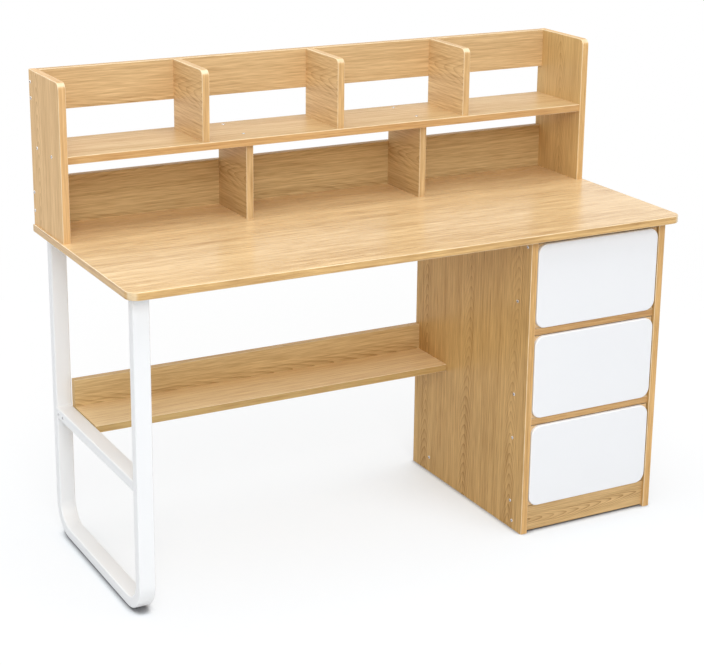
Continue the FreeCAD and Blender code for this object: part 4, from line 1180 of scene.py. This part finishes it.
# %% [markdown]
# ## Balls in the slides
#
# The balls of a slide run in rows, each held by a thin cage: outside the middle member's flanges at the
# rear, and inside them at the front. A ball is seen only as a bright dot. So it is a sphere of few
# faces, copied along a bevelled strip.

# %% Make the cages
BALL_RADIUS = 1.25 * MM
BALL_PITCH = 7.5 * MM
CAGE_LENGTH = 150 * MM
CAGE_MARGIN = 20 * MM
CAGE_STRIP = 0.7 * MM
CAGE_ROUND = 0.2 * MM
CAGE_LEFT, CAGE_RIGHT = 6.6 * MM, 9.3 * MM
INSIDE_ROW, OUTSIDE_ROW = 14.55 * MM, 18.25 * MM


def make_cage(start, height):
    """A strip with a row of balls through it, at a height over the slide's middle."""
    left, right = SLIDE_LEFT + CAGE_LEFT, SLIDE_LEFT + CAGE_RIGHT
    middle = ((left + right) / 2, start + CAGE_LENGTH / 2, height)
    strip = begin("cage", bpy.ops.mesh.primitive_cube_add, size=1, location=middle,
                  scale=(right - left, CAGE_LENGTH, CAGE_STRIP))
    bpy.ops.mesh.bevel(offset=CAGE_ROUND, segments=2)
    parts = [end(strip, zinc_slide)]
    ball = begin("ball", bpy.ops.mesh.primitive_uv_sphere_add, segments=8, ring_count=6, radius=BALL_RADIUS)
    end(ball, zinc_slide, smooth=80)
    count = int(CAGE_LENGTH / BALL_PITCH)
    for number in range(count):
        place = (middle[0], start + (number + 0.5) * BALL_PITCH, height)
        parts.append(copy_of(ball, f"ball_{number}", Matrix.Translation(place)))
    discard(ball)
    return join(parts, "cage")


front_cage = SLIDE_FRONT + CAGE_MARGIN
rear_cage = SLIDE_REAR - CAGE_MARGIN - CAGE_LENGTH
cages = [make_cage(front_cage, up * INSIDE_ROW) for up in (1, -1)]
cages += [make_cage(rear_cage, up * OUTSIDE_ROW) for up in (1, -1)]
middle_member = join([middle_member, *cages], "middle_member")
print("middle member with its balls:", len(middle_member.data.polygons), "faces")

# %% [markdown]
# ## Screws in the slides
#
# Low screws hold the outer member to its board and the inner one to the drawer. They are the same kind
# as on the boards, only smaller, so the modelled head serves once more before it is put away.

# %% Screw the members on
FASTENER_SCALE = 0.85
FASTENERS = [along * MM for along in (28, 124, 252, 372)]


def fasten(piece, member):
    """Adds low screws along the web, facing the way its lips reach."""
    web, lips, _ = member
    turn = turn_to(Vector((math.copysign(1, lips - web), 0, 0)))
    heads = []
    for along in FASTENERS:
        place = Matrix.Translation((in_web(member, SLIDE_STEEL), SLIDE_FRONT + along, 0))
        heads.append(copy_of(screw_head, "fastener", place @ turn @ Matrix.Scale(FASTENER_SCALE, 4)))
    return join([piece, *heads], piece.name)


outer_member = fasten(outer_member, OUTER)
inner_member = fasten(inner_member, INNER)
discard(screw_head)
print("outer and inner member of", face_counts(outer_member, inner_member), "faces")

# %% [markdown]
# ## A pair of slides for each drawer
#
# The two slides of a drawer are mirror images. A mirrored mesh is inside out, so its faces are flipped
# back. The outer members stay with the desk and the inner ones go with the drawer. The middle ones go
# half as far, so they ride on bodies of their own.

# %% Place the slides


def place_slides(member, part):
    """A left and a mirrored right copy of a member for each drawer."""
    mirror = Matrix.Translation((SLIDE_LEFT + SLIDE_RIGHT, 0, 0)) @ Matrix.Scale(-1, 4, (1, 0, 0))
    for drawer in DRAWERS:
        low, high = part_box(f"{drawer}_slide_outer")
        lift = Matrix.Translation((0, 0, (low.z + high.z) / 2))
        pair = [copy_of(member, "left", lift), copy_of(member, "right", lift @ mirror)]
        pair[1].data.flip_normals()
        piece = join(pair, f"{drawer}_slide_{part}_rolled")
        flatten_shading(piece)
        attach(piece, {"outer": "desk", "middle": f"slide_{drawer}", "inner": f"drawer_{drawer}"}[part])
        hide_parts(f"{drawer}_slide_{part}")
    discard(member)


place_slides(outer_member, "outer")
place_slides(middle_member, "middle")
place_slides(inner_member, "inner")
print("slides for", len(DRAWERS), "drawers")

# %% [markdown]
# ## Glides
#
# Two flat glides keep the runner off the floor. Each is a moulded pad with round corners, a taper under
# the rim that meets the tube, and a chamfer where it meets the floor. A bevelled cube would have the
# same edge all round, so a rounded rectangle is drawn down and narrowed twice.

# %% Mould the glides
GLIDE_LENGTH = 40 * MM
GLIDE_CORNER = 6 * MM
GLIDE_CORNER_STEPS = 6
TAPER_RISE, TAPER = 0.8 * MM, (0.94, 0.94, 1)
FOOT_RISE, FOOT = 0.6 * MM, (0.95, 0.96, 1)


def make_glides():
    low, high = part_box("leg_glides")
    pads = []
    for start in (low.y, high.y - GLIDE_LENGTH):
        centre = ((low.x + high.x) / 2, start + GLIDE_LENGTH / 2, high.z)
        pad = begin("glide", bpy.ops.mesh.primitive_plane_add, size=1, location=centre)
        bpy.ops.transform.resize(value=(high.x - low.x, GLIDE_LENGTH, 1), center_override=centre)
        bpy.ops.mesh.bevel(offset=GLIDE_CORNER, segments=GLIDE_CORNER_STEPS, affect="VERTICES")
        extrude((0, 0, -TAPER_RISE))
        resize(pad, TAPER)
        extrude((0, 0, low.z - high.z + TAPER_RISE + FOOT_RISE))
        extrude((0, 0, -FOOT_RISE))
        resize(pad, FOOT)
        close_ends()
        pads.append(end(pad, glide_plastic))
    piece = join(pads, "leg_glides_moulded")
    flatten_shading(piece)
    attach(piece, "desk")
    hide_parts("leg_glides")
    return piece


glides = make_glides()
print("glides from", round(min(v.co.z for v in glides.data.vertices), 4), "to",
      round(max(v.co.z for v in glides.data.vertices), 4))

# %% [markdown]
# ## What is seen, and what is open
#
# Two questions decide how the floor looks. Is it seen, by the camera or in something shiny, or does it only
# throw light on the desk? A Light Path node tells. And how much free air is over the spot? An Ambient
# Occlusion node tells, by sending out a few short rays. Where little air is free the floor is painted darker,
# a painted shade that is worked out anew for each pose, so it does not stay behind when a drawer opens.

# %% Helpers for the floor and the sky
OPENNESS_RAYS = 8


def seen_directly(tree):
    """1 for what the camera sees, by itself or in metal and gloss, and 0 for light that falls on the desk."""
    path = tree.nodes.new("ShaderNodeLightPath").outputs
    mirrored = calc(tree, "ADD", path["Is Glossy Ray"], path["Is Transmission Ray"])
    return calc(tree, "ADD", path["Is Camera Ray"], mirrored, clamp=True)


def openness(tree, reach):
    """How much of the air over the floor is free within reach: 1 in the open, near 0 under a foot."""
    node = tree.nodes.new("ShaderNodeAmbientOcclusion")
    node.inputs["Distance"].default_value = reach
    node.samples = OPENNESS_RAYS
    return node.outputs["AO"]


def mix_shaders(tree, factor, first, second):
    node = tree.nodes.new("ShaderNodeMixShader")
    for socket, source in zip(node.inputs, (factor, first, second)):
        tree.links.new(source, socket)
    return node.outputs[0]


print("helpers for the floor ready")

# %% [markdown]
# ## The floor
#
# The desk stands on a pale studio floor that runs into a white background. A white floor in full light would
# do that, but it would throw so much light up that white paint lost its shading. So the floor is grey to the
# light that falls on it, and what the camera or a shiny surface sees of it is paler and glows. Close under
# something the glow fades and, nearest a foot, the tone turns dark grey: painted shade, so that the feet
# darken the floor. Near the desk the seen floor is also tinted cool, painted light that offsets the warm
# light thrown down from the oak.

# %% Lay the floor
FLOOR_SIZE = 40
FLOOR_ROUGHNESS = 0.9
FLOOR_TONE = (0.72, 0.73, 0.74, 1)
# Painted light: near the desk the floor is tinted cool, to offset the warm light thrown down from the oak.
NEAR_TINT_AGAINST_BOUNCE = (0.87, 0.935, 1.0, 1)
FAR_TONE = (0.985, 0.995, 1.0, 1)
TONE_FADE = (0.6, 1.5)
FLOOR_EDGE = (1.3, 3.2)
FLOOR_GLOW = 0.80
SHADE_REACH = 0.35
SHADE_FADE = (0.15, 0.85)
# Painted shade: the tone the floor turns near a foot, and how near that is.
PAINTED_CONTACT_SHADE = (0.30, 0.30, 0.31, 1)
TOUCH_REACH = 0.025
TOUCH_FADE = (0.42, 0.85)


def make_floor_material():
    material, tree, shader = new_material("studio_floor")
    seen = seen_directly(tree)
    away = vector_calc(tree, "LENGTH", tree.nodes.new("ShaderNodeTexCoord").outputs["Object"])
    # Painted shade: close to a foot the seen tone turns dark grey.
    touch = ramp(tree, openness(tree, TOUCH_REACH), *TOUCH_FADE)
    tone = blend(tree, ramp(tree, away, *TONE_FADE), NEAR_TINT_AGAINST_BOUNCE, FAR_TONE)
    tone = blend(tree, touch, PAINTED_CONTACT_SHADE, tone)
    tree.links.new(blend(tree, seen, FLOOR_TONE, tone), shader.inputs["Base Color"])
    shader.inputs["Roughness"].default_value = FLOOR_ROUGHNESS
    shader.inputs["Specular IOR Level"].default_value = 0.0
    # Painted shade: the glow fades where little air is free, so the floor is darker under and beside the
    # desk.
    open_air = calc(tree, "MULTIPLY", ramp(tree, openness(tree, SHADE_REACH), *SHADE_FADE), touch)
    share = calc(tree, "MULTIPLY", seen, calc(tree, "MULTIPLY", open_air, FLOOR_GLOW))
    glow = tree.nodes.new("ShaderNodeEmission").outputs[0]
    clear = tree.nodes.new("ShaderNodeBsdfTransparent").outputs[0]
    lit = mix_shaders(tree, share, shader.outputs[0], glow)
    faded = mix_shaders(tree, ramp(tree, away, *FLOOR_EDGE), lit, clear)
    output = next(node for node in tree.nodes if node.type == "OUTPUT_MATERIAL")
    tree.links.new(faded, output.inputs[0])
    return material


bpy.ops.object.select_all(action="DESELECT")
bpy.ops.mesh.primitive_plane_add(size=FLOOR_SIZE, location=(0, 0, 0))
floor = bpy.context.object
floor.name = "studio_floor"
floor.data.materials.append(make_floor_material())
print("the floor fades out between", FLOOR_EDGE, "m from the desk")

# %% [markdown]
# ## The light
#
# Furniture is lit softly and from above: a wide lamp over the desk, another in front of its left side,
# a weak one behind, and an even sky for the rest. The sky is white only where it is seen, and dimmer
# for the light that it gives, so that the lamps shape the desk.

# %% Hang the lamps
SKY_LIGHT = 0.62
# Each lamp's place, what it points at, its size in metres and its watts.
LAMPS = {
    "overhead_lamp": ((0, -1.0, 6.5), (0, 0, 0.7), (4.0, 4.0), 150),
    "front_lamp": ((-2.0, -5.2, 4.3), (0, 0, 0.6), (3.0, 3.0), 170),
    "back_lamp": ((-2.6, 4.2, 2.5), (0, 0, 0.7), (3.0, 1.6), 30),
}


def make_sky():
    world = bpy.data.worlds.new("studio_sky")
    bpy.context.scene.world = world
    world.use_nodes = True
    tree = world.node_tree
    tree.nodes.clear()
    sky = tree.nodes.new("ShaderNodeBackground")
    sky.inputs["Color"].default_value = (1, 1, 1, 1)
    tree.links.new(ramp(tree, seen_directly(tree), 0.0, 1.0, SKY_LIGHT, 1.0), sky.inputs["Strength"])
    tree.links.new(sky.outputs[0], tree.nodes.new("ShaderNodeOutputWorld").inputs[0])


def make_lamp(name, place, target, size, watts):
    lamp = bpy.data.lights.new(name, "AREA")
    lamp.shape = "RECTANGLE"
    lamp.size, lamp.size_y = size
    lamp.energy = watts
    holder = bpy.data.objects.new(name, lamp)
    bpy.context.scene.collection.objects.link(holder)
    holder.location = place
    holder.rotation_mode = "QUATERNION"
    holder.rotation_quaternion = (Vector(target) - Vector(place)).to_track_quat("-Z", "Y")


make_sky()
for name, values in LAMPS.items():
    make_lamp(name, *values)
bpy.context.scene.view_settings.view_transform = "Standard"
print(len(LAMPS), "lamps,", sum(values[-1] for values in LAMPS.values()), "W")
